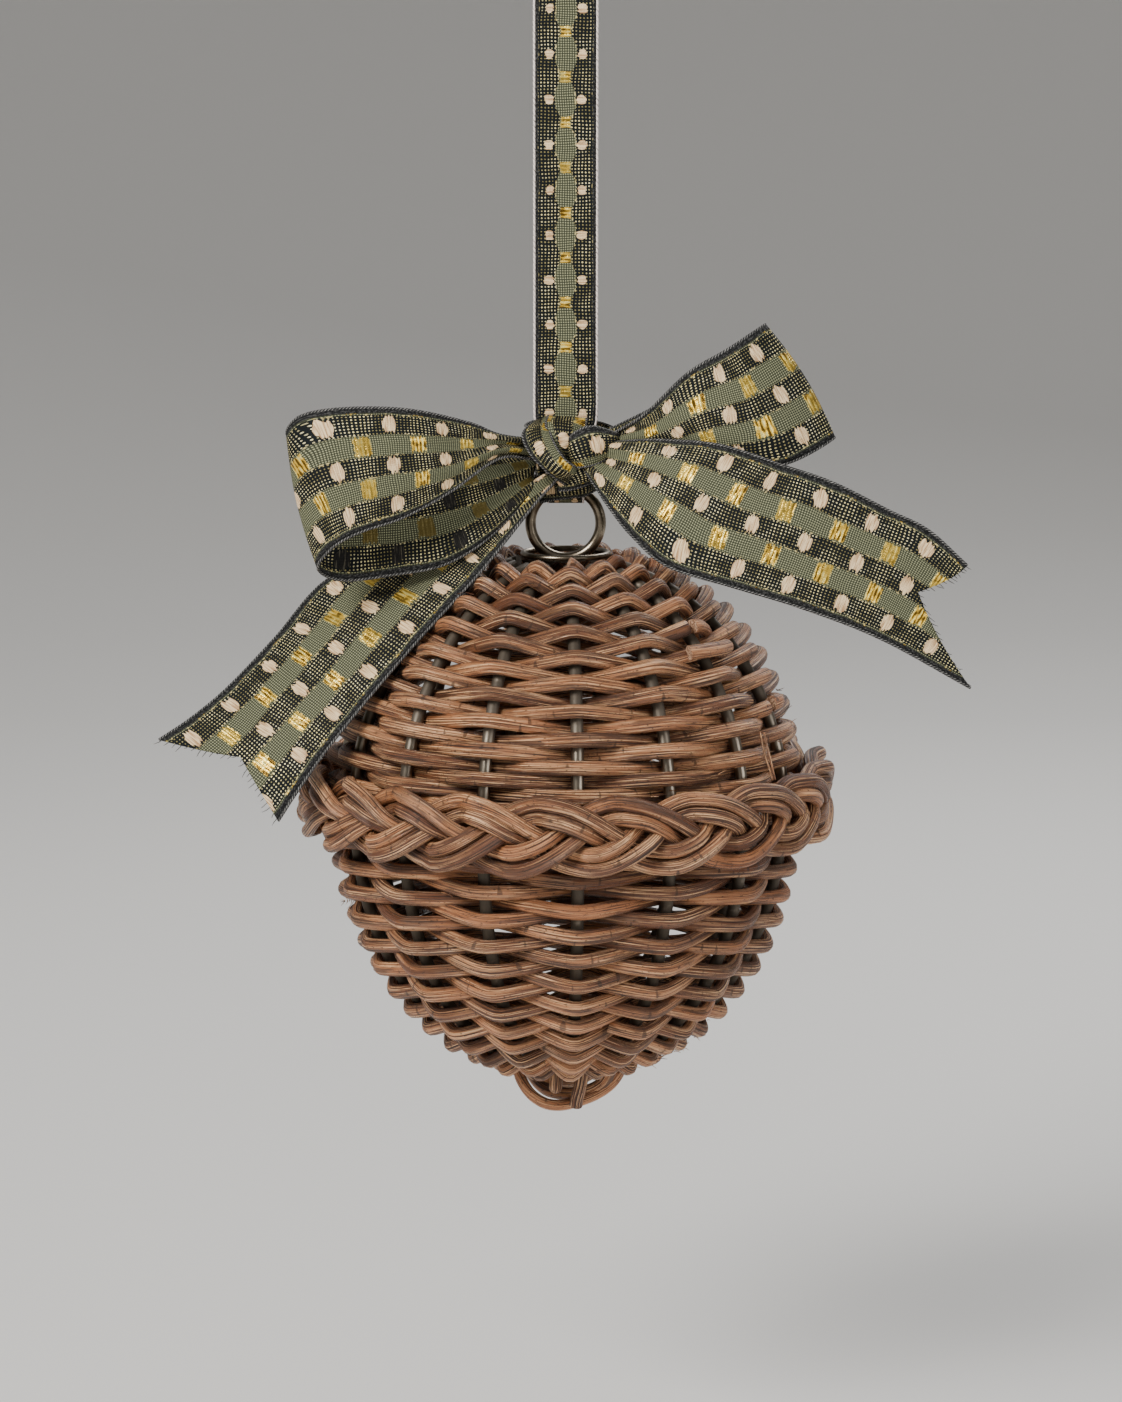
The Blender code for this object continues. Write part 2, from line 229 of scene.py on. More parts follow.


# %% [markdown]
# Rattan cane is a bundle of long fibres. Its face shows fine grooves along its length, darkened
# with painted shade, paler lines between them that are partly wear and partly painted highlight,
# brown stains, short dark cracks across, and a slow change of tone from one stretch to the next.
# The cane's UV map runs in metres along and around it, so stretched noise on it gives the fibres
# their length. Painting them would need an image, and a wave texture would look too regular.

# %% Cane fibres
CANE_DARK = (0.030, 0.012, 0.006, 1.0)
CANE_DEEP = (0.165, 0.055, 0.020, 1.0)
CANE_MAIN = (0.500, 0.210, 0.088, 1.0)
CANE_PALE = (0.980, 0.590, 0.315, 1.0)
CANE_WARM = (0.460, 0.145, 0.045, 1.0)
CANE_GREY = (0.190, 0.103, 0.060, 1.0)
CANE_STAIN = (0.085, 0.036, 0.018, 1.0)

fibre_group, bench, entry, exit_node = new_group(
    "cane_fibres",
    [("Along", "NodeSocketFloat", 0.0), ("Around", "NodeSocketFloat", 0.0),
     ("Tone", "NodeSocketFloat", 0.5)],
    [("Color", "NodeSocketColor"), ("Roughness", "NodeSocketFloat"),
     ("Height", "NodeSocketFloat")])
length_way = entry["Along"]
girth_way = entry["Around"]
fine = bench.grain((length_way, 46.0), (girth_way, 2900.0), 4.0, 0.65)
stretch = bench.noise(bench.vector(bench.times(length_way, 11.0), 0.5), 1.0, 1.0)
broad = bench.grain((length_way, 32.0), (girth_way, 760.0))
patch = bench.grain((length_way, 24.0), (girth_way, 90.0))
blotch = bench.grain((length_way, 60.0), (girth_way, 160.0), 3.0, 0.6)
stain = bench.grain((length_way, 42.0), (girth_way, 330.0), 4.0, 0.65)
pits = bench.grain((length_way, 900.0), (girth_way, 1500.0), 2.0, 0.6)
cracks = bench.grain((length_way, 520.0), (girth_way, 110.0), 1.0)
print("nodes in the fibre group so far:", len(fibre_group.nodes))

# %% [markdown]
# The noises become colour in layers, from the slow change of tone up to the finest cracks. Each
# layer is laid over the last one through its own mask. The group's Tone input moves the share of
# pale lines, which are partly wear and partly painted highlight, so that the canes aren't all
# alike. The dark in the grooves is painted shade.

# %% Cane colour
depth = bench.plus(broad, bench.times(patch, 0.5))
depth = bench.plus(depth, bench.times(bench.minus(stretch, 0.5), 1.3))
depth = bench.plus(depth, bench.times(bench.minus(entry["Tone"], 0.55), 0.22))
body = bench.mix(bench.step(depth, 0.62, 0.86), CANE_DEEP, CANE_MAIN)
body = bench.veil(stretch, 0.52, 0.66, 0.35, body, CANE_WARM)
body = bench.veil(blotch, 0.52, 0.66, 0.6, body, CANE_GREY)
tone = bench.plus(bench.times(patch, 1.2), bench.times(bench.minus(entry["Tone"], 0.5), 0.6))
# Pale lines between the grooves, partly wear and partly painted highlight.
worn_and_highlit = bench.mix(bench.times(bench.step(fine, 0.52, 0.60), bench.step(tone, 0.38, 0.66)),
                 body, CANE_PALE)
# Painted shade: the grooves between the fibres are darkened towards CANE_DARK.
shaded_grooves = bench.mix(bench.step(fine, 0.470, 0.420, 0.0, 0.92), worn_and_highlit, CANE_DARK)
stained = bench.veil(stain, 0.54, 0.61, 0.72, shaded_grooves, CANE_STAIN)
pitted = bench.veil(pits, 0.60, 0.68, 0.7, stained, CANE_DARK)
cracked = bench.veil(cracks, 0.66, 0.72, 0.65, pitted, CANE_DARK)
bench.feed(cracked, exit_node.inputs["Color"])
bench.feed(bench.step(fine, 0.40, 0.60, 0.58, 0.24), exit_node.inputs["Roughness"])
bench.feed(bench.plus(fine, bench.times(broad, 0.7)), exit_node.inputs["Height"])


def cane_material(name, tone_value):
    """A cane finish with its own share of pale wear and painted highlight."""
    material, own, shader = new_material(name, CANE_MAIN[:3], 0.5)
    along, around_it = own.uv_ways()
    fibres = own.add("ShaderNodeGroup", node_tree=fibre_group)
    own.feed(along, fibres.inputs["Along"])
    own.feed(around_it, fibres.inputs["Around"])
    fibres.inputs["Tone"].default_value = tone_value
    own.feed(fibres.outputs["Color"], shader.inputs["Base Color"])
    own.feed(fibres.outputs["Roughness"], shader.inputs["Roughness"])
    own.bump(shader, fibres.outputs["Height"], 1.0, 0.0008)
    shader.inputs["Specular IOR Level"].default_value = 0.6
    return material


cane_finish = {tone: cane_material(f"cane_tone_{tone}", 0.35 + 0.15 * tone) for tone in range(4)}
print("cane finishes:", len(cane_finish))

# %% [markdown]
# A cut cane shows pale, pithy wood at its end. The ends get a material of their own, with small
# dark pores.

# %% Cut ends
cut_end_finish, bench, shader = new_material("cane_cut_end", (0.50, 0.30, 0.18), 0.8)
place = bench.add("ShaderNodeTexCoord").outputs["Object"]
pores = bench.noise(place, 2600.0, 3.0, 0.6)
bench.feed(bench.mix(bench.step(pores, 0.45, 0.6), (0.20, 0.10, 0.055, 1.0),
                     (0.56, 0.36, 0.23, 1.0)), shader.inputs["Base Color"])
print("pores are noise at a scale of 2600 to the metre")

# %% [markdown]
# Canes, wires and edges are all long round things. One helper rolls a flat grid into a tube along
# a path: a curve object would do it too, but its UV map can't be given in metres, and a cane's
# thickness and section have to change along the way. The rest of the helpers turn a finished
# bmesh into a piece, and draw smooth lines and small wanders.

# %% A tube along a path
merge_distance = 1e-7


def uv_layer(builder):
    """The mesh's UV map, made on the first call."""
    layers = builder.loops.layers.uv
    return layers.get("UVMap") or layers.new("UVMap")


def travelled_along(points, start=0.0):
    """The distance travelled at each point of a line."""
    travelled = [start]
    for before, after in zip(points, points[1:]):
        travelled.append(travelled[-1] + (after - before).length)
    return travelled


def add_tube(builder, centres, outward, radii, sides, start_along=0.0, flatten=1.0, cap=1):
    """Roll a grid round a path in metres. outward tells which way the section's first point
    faces, and cap is the material of the two ends."""
    rows = len(centres) - 1
    layer = uv_layer(builder)
    grid = bmesh.ops.create_grid(builder, x_segments=sides, y_segments=rows, size=0.5)["verts"]
    along = travelled_along(centres, start_along)
    girth = math.tau * radii[len(radii) // 2]
    lane_of = {}
    for vert in grid:
        lane_of[vert] = (round((vert.co.x + 0.5) * sides), round((vert.co.y + 0.5) * rows))
    faces = {face for vert in grid for face in vert.link_faces}
    for face in faces:
        face.smooth = True
        face.material_index = 0
        for loop in face.loops:
            lane, row = lane_of[loop.vert]
            loop[layer].uv = (along[row], girth * lane / sides)
    for vert in grid:
        lane, row = lane_of[vert]
        ahead = centres[min(row + 1, rows)] - centres[max(row - 1, 0)]
        ahead.normalize()
        face_way = outward[row] - outward[row].dot(ahead) * ahead
        face_way.normalize()
        side_way = ahead.cross(face_way)
        angle = math.tau * lane / sides
        vert.co = centres[row] + radii[row] * (
            math.cos(angle) * flatten * face_way + math.sin(angle) * side_way)
    bmesh.ops.remove_doubles(builder, verts=grid, dist=merge_distance)
    ends = [edge for vert in grid if vert.is_valid for edge in vert.link_edges if edge.is_boundary]
    lids = bmesh.ops.holes_fill(builder, edges=list(set(ends)), sides=0)["faces"]
    for lid in lids:
        lid.material_index = cap
        lid.smooth = False


def add_rod(builder, line, way, radius, sides, start_along=0.0, cap=1):
    """A tube of one thickness along a line in millimetres, with its section facing one way."""
    count = len(line)
    add_tube(builder, [point * MM for point in line], [Vector(way)] * count,
             [radius * MM] * count, sides, start_along, cap=cap)


def finish_piece(name, builder, materials, replaced=(), closed=True):
    """Turn a bmesh into a piece that rides on the body and stands for its CAD nodes."""
    mesh = bpy.data.meshes.new(name)
    if closed:
        bmesh.ops.recalc_face_normals(builder, faces=builder.faces)
    builder.to_mesh(mesh)
    builder.free()
    for material in materials:
        mesh.materials.append(material)
    piece = bpy.data.objects.new(name, mesh)
    bpy.context.scene.collection.objects.link(piece)
    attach(piece, "root")
    if replaced:
        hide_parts(*replaced)
    return piece


def smooth_line(points, steps):
    """Points along a smooth curve through the given ones, with steps to each span."""
    line = [Vector(point) for point in points]
    padded = [2 * line[0] - line[1], *line, 2 * line[-1] - line[-2]]
    smooth = []
    for before, start, end, after in zip(padded, padded[1:], padded[2:], padded[3:]):
        for step in range(steps):
            share = step / steps
            smooth.append(0.5 * ((2 * start) + (end - before) * share
                                 + (2 * before - 5 * start + 4 * end - after) * share ** 2
                                 + (3 * start - before - 3 * end + after) * share ** 3))
    return smooth + [line[-1]]


def wobble(step, seed, amount):
    """A smooth, repeatable wander."""
    return amount * noise.noise(Vector((step, seed * 7.3, seed * 1.7)))


print("tubes merge points closer than", merge_distance, "m")

# %% [markdown]
# The acorn's wall follows two round curves that meet at the waist: the dome above and the
# deeper bowl below. The wire ribs lie on it, and the canes pass in front of one rib and behind
# the next. These sizes are the CAD's own, in millimetres, apart from the wires, which are drawn
# 0.3 mm thicker in radius, as in the photograph.

# %% The acorn's wall
waist_height = -221.0
waist_radius = 58.0
dome_height = 62.0
bowl_height = 72.0
dome_fullness = 2.0
bowl_fullness = 2.15
rib_count = 15
rib_first_degrees = 3.0
rib_radius = 1.60
row_pitch = 3.5
weave_end_radius = 15.5


def height_at(radius, above):
    """Height of the wall over the waist, for a radius on the dome or the bowl."""
    share = 1 - (radius / waist_radius) ** 2
    if above:
        return dome_height * share ** (1 / dome_fullness)
    return -bowl_height * share ** (1 / bowl_fullness)


def around(azimuth, radius, height):
    """A point in metres from degrees round the axis, a radius and a height over the waist."""
    turn = math.radians(azimuth)
    return Vector((radius * math.sin(turn), -radius * math.cos(turn), waist_height + height)) * MM


def wall_line(start_radius, end_radius, above, steps=600):
    """(arc length, radius, height) along the wall."""
    line = []
    first = math.asin(start_radius / waist_radius)
    last = math.asin(end_radius / waist_radius)
    for step in range(steps + 1):
        radius = waist_radius * math.sin(first + (last - first) * step / steps)
        height = height_at(radius, above)
        travelled = 0.0
        if line:
            travelled = line[-1][0] + math.hypot(radius - line[-1][1], height - line[-1][2])
        line.append((travelled, radius, height))
    return line


def point_on(line, travelled):
    """Radius, height and outward direction at an arc length along a wall line."""
    low, high = 0, len(line) - 1
    while high - low > 1:
        middle = (low + high) // 2
        if line[middle][0] <= travelled:
            low = middle
        else:
            high = middle
    share = (travelled - line[low][0]) / (line[high][0] - line[low][0])
    radius = line[low][1] + share * (line[high][1] - line[low][1])
    height = line[low][2] + share * (line[high][2] - line[low][2])
    way = Vector((line[high][1] - line[low][1], line[high][2] - line[low][2])).normalized()
    return radius, height, Vector((-way.y, way.x))


dome_line = wall_line(weave_end_radius, waist_radius, True)
bowl_line = wall_line(waist_radius, weave_end_radius, False)
print("wall lengths in mm:", round(dome_line[-1][0], 1), round(bowl_line[-1][0], 1))

# %% [markdown]
# Steel wire: bright and slightly brushed in the open rows over the plait, darker and duller in
# noise patches near the top and in the bowl. The change follows the height of the point on the
# object.

# %% Wire finish
wire_finish, bench, shader = new_material("rib_wire", (0.30, 0.28, 0.25), 0.34, 1.0)
place = bench.add("ShaderNodeTexCoord").outputs["Object"]
height = bench.add("ShaderNodeSeparateXYZ", {0: place}).outputs[2]
# The ribs are darker and duller above and below the waist band, in noise patches, by height.
dull_patches = bench.noise(place, 260.0, 3.0, 0.6)
dull_top = bench.step(height, -0.210, -0.185)
dull_bowl = bench.step(height, -0.222, -0.228)
dull_share = bench.times(bench.math("MAXIMUM", dull_top, dull_bowl), bench.step(dull_patches, 0.15, 0.45))
bench.feed(bench.mix(dull_share, (0.27, 0.23, 0.18, 1.0), (0.085, 0.067, 0.048, 1.0)),
           shader.inputs["Base Color"])
bench.feed(bench.step(dull_share, 0.0, 1.0, 0.30, 0.62), shader.inputs["Roughness"])
bench.feed(bench.step(dull_share, 0.0, 1.0, 1.0, 0.45), shader.inputs["Metallic"])
drawn_out = bench.add("ShaderNodeMapping", {"Vector": place, "Scale": (900.0, 900.0, 60.0)})
bench.bump(shader, bench.noise(drawn_out.outputs[0], 1.0, 2.0, 0.5), 0.35, 0.0002)
print("wire finish made")

# %% [markdown]
# Fifteen wires stand round the axis like the ribs of a lantern. Each follows the wall from the
# collar out to the waist and back in to the foot, where they nearly touch. A spin could copy one
# wire round the axis, but each wire stands for a CAD node of its own, so they are made one by one.

# %% Ribs
collar_radius = 11.0
collar_wire_radius = 0.8
rib_gap = 0.3
rib_samples = 22
rib_sides = 10
rib_top = collar_radius + collar_wire_radius + rib_gap + rib_radius
rib_foot = rib_count * (2 * rib_radius + rib_gap) / math.tau
for index in range(rib_count):
    azimuth = rib_first_degrees + index * 360 / rib_count
    centres = []
    ways = []
    for first, last, above in ((rib_top, waist_radius, True), (waist_radius, rib_foot, False)):
        for step in range(0 if above else 1, rib_samples + 1):
            low = math.asin(first / waist_radius)
            high = math.asin(last / waist_radius)
            radius = waist_radius * math.sin(low + (high - low) * step / rib_samples)
            centres.append(around(azimuth, radius, height_at(radius, above)))
            ways.append(around(azimuth + 90, 1.0, -waist_height))
    wire = bmesh.new()
    add_tube(wire, centres, ways, [rib_radius * MM] * len(centres), rib_sides, cap=0)
    finish_piece(f"rib_wire_{index + 1:02d}", wire, [wire_finish], [f"rib_{index + 1:02d}"])
print("ribs:", rib_count)

# %% [markdown]
# Each long cane winds round and round, in front of one rib and behind the next. Because the
# number of ribs is odd, one endless spiral keeps changing sides by itself. A cosine carries the
# cane in and out. Its section is pressed a little flat, and it wanders a little, because it is
# laid in by hand. It is drawn thicker than in the CAD, where the solids have to stay apart: here
# the canes may touch, as they do in a real weave.

# %% The woven canes
cane_radius = 1.95
steepest_crossing = 0.44
samples_per_crossing = 12
cane_sides = 12
swing_sharpness = 0.965


def reach_at(radius):
    """How far a cane swings out and in where the ribs stand this far from the axis."""
    spacing = 2 * radius * math.sin(math.pi / rib_count)
    return min(rib_radius + cane_radius, steepest_crossing * spacing)


def swing_at(crossing):
    """+1 in front of an even rib and -1 behind an odd one, nearly straight between them."""
    bend = swing_sharpness * math.cos(math.pi * crossing)
    return math.asin(bend) / math.asin(swing_sharpness)


def woven_cane(name, line, first_crossing, start, end, seed):
    """One cane from one crossing to another along the wall, as a piece for its CAD node."""
    centres, ways, radii = [], [], []
    count = int((end - start) * samples_per_crossing)
    for step in range(count + 1):
        crossing = start + (end - start) * step / count
        drift = wobble(crossing * 0.37, seed, 0.7) + wobble(crossing * 1.3, seed + 60, 0.35)
        travelled = min(max(row_pitch * crossing / rib_count + drift, 0.0), line[-1][0])
        radius, height, out = point_on(line, travelled)
        reach = reach_at(radius)
        offset = reach * swing_at(crossing + first_crossing)
        offset += wobble(crossing * 0.23 + 40.0, seed, 0.3)
        azimuth = rib_first_degrees + (crossing + first_crossing) * 360 / rib_count
        centres.append(around(azimuth, radius + offset * out.x, height + offset * out.y))
        ways.append(around(azimuth, out.x, out.y - waist_height) / MM)
        thickness = cane_radius * min(1.0, 0.62 + 0.38 * reach / (rib_radius + cane_radius))
        thickness *= 1 + wobble(crossing * 0.8, seed + 3, 0.12)
        radii.append(thickness * MM)
    cane = bmesh.new()
    add_tube(cane, centres, ways, radii, cane_sides, seed * 10.0, flatten=0.90)
    finish_piece(name.replace("cane", "weaver"), cane, [cane_finish[seed % 4], cut_end_finish],
                 [name])


def weave(name, line, first_crossing, joints, seed):
    """All canes of one half, cut end to end at the given crossings."""
    crossings = int(line[-1][0] / row_pitch * rib_count)
    cuts = [0.0, *joints, crossings]
    for cane, (start, end) in enumerate(zip(cuts, cuts[1:])):
        woven_cane(f"{name}_{cane + 1}", line, first_crossing, start + (0.04 if cane else 0.0),
                   end - 0.04, seed + cane)
    return crossings


dome_crossings = weave("dome_cane", dome_line, 0, (121.9, 227.8), 1)
bowl_crossings = weave("bowl_cane", bowl_line, dome_crossings + 1, (124.5, 248.5), 4)
print("crossings in the dome and the bowl:", dome_crossings, bowl_crossings)

# %% [markdown]
# Two mends: a short cut piece lies over the joint on the right, and two thin strands are bound
# round the last rows of the shoulder. They are too fine for the CAD, so they replace no node.

# %% Splice and binding
splice_start = 41.0
splice_turn = 19.0
splice_steps = 18
splice_travel = 36.0
binding_radius = 0.26
handwork = bmesh.new()
centres, ways, radii = [], [], []
for step in range(splice_steps + 1):
    share = step / splice_steps
    radius, height, out = point_on(dome_line, splice_travel + 0.6 * math.sin(share * math.pi))
    offset = 2.6 + 2.3 * math.sin(math.pi * (0.15 + 0.7 * share))
    azimuth = splice_start + splice_turn * share
    centres.append(around(azimuth, radius + offset * out.x, height + offset * out.y))
    ways.append(around(azimuth, out.x, out.y - waist_height) / MM)
    radii.append(cane_radius * MM)
add_tube(handwork, centres, ways, radii, cane_sides, 60.0, flatten=0.9)
for strand in range(2):
    line = smooth_line([(49.4 + strand * 1.0, -33.6 + strand * 0.7, -200.0),
                        (50.2 + strand * 1.1, -35.6 + strand * 0.7, -204.0),
                        (51.4 + strand * 0.9, -36.8 + strand * 0.7, -208.0),
                        (52.6 + strand * 0.5, -37.8 + strand * 0.5, -211.5)], 6)
    add_rod(handwork, line, (1, -1, 0), binding_radius, 6, 70.0 + strand)
print("faces of the mends:", len(handwork.faces))

# %% [markdown]
# Fine broken fibres stand up all over the weave. Steps of an irrational share spread them evenly
# without any pattern to see, and without a random draw. A hair system would look right too, but
# wouldn't be a mesh.

# %% Loose fibres
fibre_count = 160
turn_step = 137.508
row_share_step = 0.6180339
length_share_step = 0.754877
fibre_radii = [0.13 * MM, 0.12 * MM, 0.09 * MM, 0.04 * MM]
for index in range(fibre_count):
    line = bowl_line if index % 2 else dome_line
    travelled = line[-1][0] * (0.12 + 0.82 * ((index * row_share_step) % 1.0))
    azimuth = (index * turn_step) % 360
    radius, height, out = point_on(line, travelled)
    offset = reach_at(radius) * abs(swing_at(travelled / row_pitch * rib_count)) + 1.0
    way = 1 if index % 3 else -1
    length = 1.5 + 3.0 * ((index * length_share_step) % 1.0)
    hair = []
    for step in range(4):
        share = step / 3
        spin = azimuth + way * math.degrees(length * share / radius)
        lift = offset + 1.1 * share ** 2
        hair.append(around(spin, radius + lift * out.x,
                           height + lift * out.y + wobble(index, 12, 2.0) * share))
    add_tube(handwork, hair, [Vector((0, 0, 1))] * 4, fibre_radii, 4, index * 0.1, cap=0)
finish_piece("cane_handwork", handwork, [cane_finish[2], cut_end_finish])
print("loose fibres:", fibre_count)

# %% [markdown]
# The waist carries a plait of three strands, and each strand is a pair of canes side by side.
# The middle line of a strand sways up and down as a sine. A cane lies in front while it runs
# down and is still above the middle, or runs up and is still below it, and behind otherwise.

# %% The plait
plait_periods = 7
plait_sway = 6.3
plait_depth = 2.0
plait_radius = 66.4
plait_cane_radius = 1.95
pair_spacing = 1.95
plait_phase = 0.249
plait_swap = 0.22
plait_samples = 36

for strand in range(3):
    pair = bmesh.new()
    for side in (-1, 1):
        centres, ways, radii = [], [], []
        count = plait_periods * plait_samples
        for step in range(count + 1):
            turn = 0.998 * step / count
            phase = math.tau * (plait_periods * turn + strand / 3 + plait_phase)
            slope = plait_sway * math.cos(phase) * plait_periods / plait_radius
            lean = math.atan(slope)
            shift = side * pair_spacing
            sway = plait_sway * math.sin(phase) + shift * math.cos(lean)
            azimuth = 360 * turn - 90 - math.degrees(shift * math.sin(lean) / plait_radius)
            depth = -plait_depth * math.tanh(math.cos(phase) / plait_swap) * math.tanh(
                sway / plait_sway / plait_swap)
            seed = strand * 2 + side
            sway += wobble(step * 0.09, seed + 20, 0.9)
            radius = plait_radius + depth + wobble(step * 0.07, seed + 30, 0.8)
            centres.append(around(azimuth, radius, sway))
            ways.append(around(azimuth, 1.0, -waist_height))
            radii.append(plait_cane_radius * (1 + wobble(step * 0.11, seed + 11, 0.16)) * MM)
        add_tube(pair, centres, ways, radii, cane_sides, strand * 9.0 + side, flatten=0.92)
    finish_piece(f"plait_pair_{strand + 1}", pair, [cane_finish[strand], cut_end_finish],
                 [f"plait_strand_{strand + 1}"])
print("plait strands: 3")

# %% [markdown]
# Antique metal: warm grey with darker brown patina in broad patches. The two rings at the top are
# made by spinning a small circle round the axis, which gives a true round wire. A torus from the
# menu would do, but its seams can't be placed.

# %% Rings
ring_finish, bench, shader = new_material("antique_ring", (0.20, 0.165, 0.118), 0.3, 1.0)
place = bench.add("ShaderNodeTexCoord").outputs["Object"]
patina = bench.noise(place, 240.0, 2.0, 0.5)
bench.feed(bench.mix(bench.step(patina, 0.30, 0.70), (0.100, 0.078, 0.052, 1.0),
                     (0.27, 0.228, 0.170, 1.0)), shader.inputs["Base Color"])
bench.feed(bench.step(patina, 0.3, 0.7, 0.36, 0.26), shader.inputs["Roughness"])


def ring_piece(name, node, upright):
    """A round wire ring that fills its CAD node's box, whose wire is a hexagon in the CAD."""
    low, high = (Vector(corner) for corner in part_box(node))
    size = high - low
    wire = size.y / 2 if upright else size.z / 2
    wire /= math.cos(math.pi / 6)
    centre = (low + high) / 2
    major = size.x / 2 - wire
    ring = bmesh.new()
    circle = bmesh.ops.create_circle(ring, segments=16, radius=wire)["verts"]
    turn = Matrix.Translation((major, 0, 0)) @ Matrix.Rotation(math.pi / 2, 4, "X")
    bmesh.ops.transform(ring, matrix=turn, verts=circle)
    bmesh.ops.spin(ring, geom=ring.verts[:] + ring.edges[:], cent=(0, 0, 0), axis=(0, 0, 1),
                   angle=math.tau, steps=72, use_merge=True)
    bmesh.ops.remove_doubles(ring, verts=ring.verts, dist=merge_distance)
    if upright:
        bmesh.ops.rotate(ring, matrix=Matrix.Rotation(math.pi / 2, 3, "X"), verts=ring.verts)
    bmesh.ops.translate(ring, vec=centre, verts=ring.verts)
    for face in ring.faces:
        face.smooth = True
    finish_piece(name, ring, [ring_finish], [node])


ring_piece("collar_ring", "top_collar", False)
ring_piece("upright_ring", "hanging_ring", True)
print("rings: 2")

# %% [markdown]
# Canes close the tip: three of them cross under it. Their lines are read from the photograph, and
# go up a little way into the bowl at both ends.

# %% The tip
tip_radii = (1.5, 1.7, 1.7)
tip_arcs = [
    [(-12.8, 1, -290.5), (-12.4, -1, -296.0), (-9.9, -3, -300.6), (-6.4, -4, -303.3),
     (-2.6, -4, -304.3), (1.7, -4, -303.7), (7.6, -3, -301.8), (12.2, -2, -298.8),
     (14.6, 0, -295.2), (15.2, 2, -290.5)],
    [(-10.8, 6.0, -290.5), (-10.0, 4.0, -295.2), (-7.6, 1.6, -299.0), (-4.4, -0.4, -301.2),
     (0.6, -1.4, -301.8), (6.0, -2.0, -300.8), (9.8, -3, -298.4), (11.6, -4, -295.2),
     (12.2, -5.0, -290.5)],
    [(10.8, 8, -290.5), (9.5, 6.5, -295.4), (6.0, 5.0, -298.2), (0.5, 3, -299.6),
     (-5.5, 1.5, -298.4), (-9.5, -0.5, -295.4), (-10.6, -2, -290.5)]]
for index, points in enumerate(tip_arcs):
    arc = bmesh.new()
    add_rod(arc, smooth_line(points, 5), (0.1, 0.2, -1), tip_radii[index], cane_sides, 30.0 + index)
    finish_piece(f"tip_arc_{index + 1}", arc, [cane_finish[index], cut_end_finish],
                 [f"tip_cane_{index + 1}"])
print("tip arcs:", len(tip_arcs))

# %% [markdown]
# Two short ends stand beside the arcs. One was rounded off with a knife, so its last rings shrink
# as a quarter circle does, and the other keeps its plain cut.

# %% Cut ends at the tip
stub_radius = 1.75
tip_stubs = [
    ([(-2.1, -5.0, -291.0), (-2.4, -6.8, -295.8), (-2.6, -7.4, -298.6)], True),
    ([(4.7, -5.6, -291.2), (4.1, -7.3, -297.1), (3.0, -7.0, -301.8), (2.7, -6.4, -303.8)], False)]
for index, (points, rounded) in enumerate(tip_stubs):
    line = smooth_line(points, 6)
    radii = [stub_radius * MM] * len(line)
    if rounded:
        tail = (line[-1] - line[-2]).normalized()
        foot = line[-1].copy()
        for share in (0.35, 0.7, 0.9, 0.99):
            line.append(foot + tail * stub_radius * share)
            radii.append(stub_radius * MM * math.sqrt(1 - share ** 2))
    stub = bmesh.new()
    add_tube(stub, [point * MM for point in line], [Vector((0, -1, 0))] * len(line), radii,
             cane_sides, 40.0 + index)
    finish_piece(f"tip_end_{index + 1}", stub, [cane_finish[1], cut_end_finish],
                 [f"tip_stub_{index + 1}"])
print("ends beside them:", len(tip_stubs))

# %% [markdown]
# The ribbon is woven, not printed: sage and charcoal lanes run along it, cream spots float over
# the charcoal lanes, and blocks of bright gold bars over the sage ones, half a repeat further on.
# On the narrow ribbon the sage lane is pinched at each gold block. All of it is worked out from
# the UV map, which holds metres along and across the ribbon. A slow noise bends both ways a
# little, because no weave is ruled straight.

# %% Lanes and repeats
ribbon_group, bench, entry, exit_node = new_group(
    "woven_ribbon",
    [("Along", "NodeSocketFloat", 0.0), ("Across", "NodeSocketFloat", 0.0),
     ("Lane Width", "NodeSocketFloat", 0.0062), ("First Lane", "NodeSocketFloat", 0.0),
     ("Repeat", "NodeSocketFloat", 0.014), ("Half Ground", "NodeSocketFloat", 0.0155),
     ("Spot Length", "NodeSocketFloat", 0.0032), ("Spot Width", "NodeSocketFloat", 0.0046),
     ("Sage Half", "NodeSocketFloat", 0.0031), ("Pinch", "NodeSocketFloat", 0.0),
     ("Spot Shift", "NodeSocketFloat", 0.0), ("Reverse", "NodeSocketFloat", 0.0)],
    [("Color", "NodeSocketColor"), ("Metallic", "NodeSocketFloat"),
     ("Roughness", "NodeSocketFloat"), ("Height", "NodeSocketFloat")])
length_way = entry["Along"]
width_way = entry["Across"]
stray = bench.grain((length_way, 110.0), (width_way, 110.0), 1.0)
along = bench.plus(length_way, bench.times(stray, 0.0012))
across = bench.plus(width_way, bench.times(bench.minus(stray, 0.5), 0.0010))
lane_place = bench.math("DIVIDE", across, entry["Lane Width"])
lane_offset = bench.off_centre(lane_place, entry["Lane Width"])
sage_place = bench.times(bench.minus(bench.plus(lane_place, entry["First Lane"]), 1.0), 0.5)
sage_far = bench.math("ABSOLUTE", bench.off_centre(
    sage_place, bench.times(entry["Lane Width"], 2.0)))
sage_lane = bench.math("LESS_THAN", sage_far, entry["Sage Half"])
repeat_place = bench.math("DIVIDE", length_way, entry["Repeat"])
spot_offset = bench.off_centre(repeat_place, entry["Repeat"])
gold_offset = bench.off_centre(bench.plus(repeat_place, 0.5), entry["Repeat"])
near_gold = bench.step(bench.math("ABSOLUTE", gold_offset), 0.0042, 0.0006)
pinch = bench.times(entry["Pinch"], near_gold)
pinched_half = bench.times(entry["Sage Half"], bench.minus(1.0, pinch))
on_sage = bench.math("LESS_THAN", sage_far, pinched_half)
print("lanes laid out")

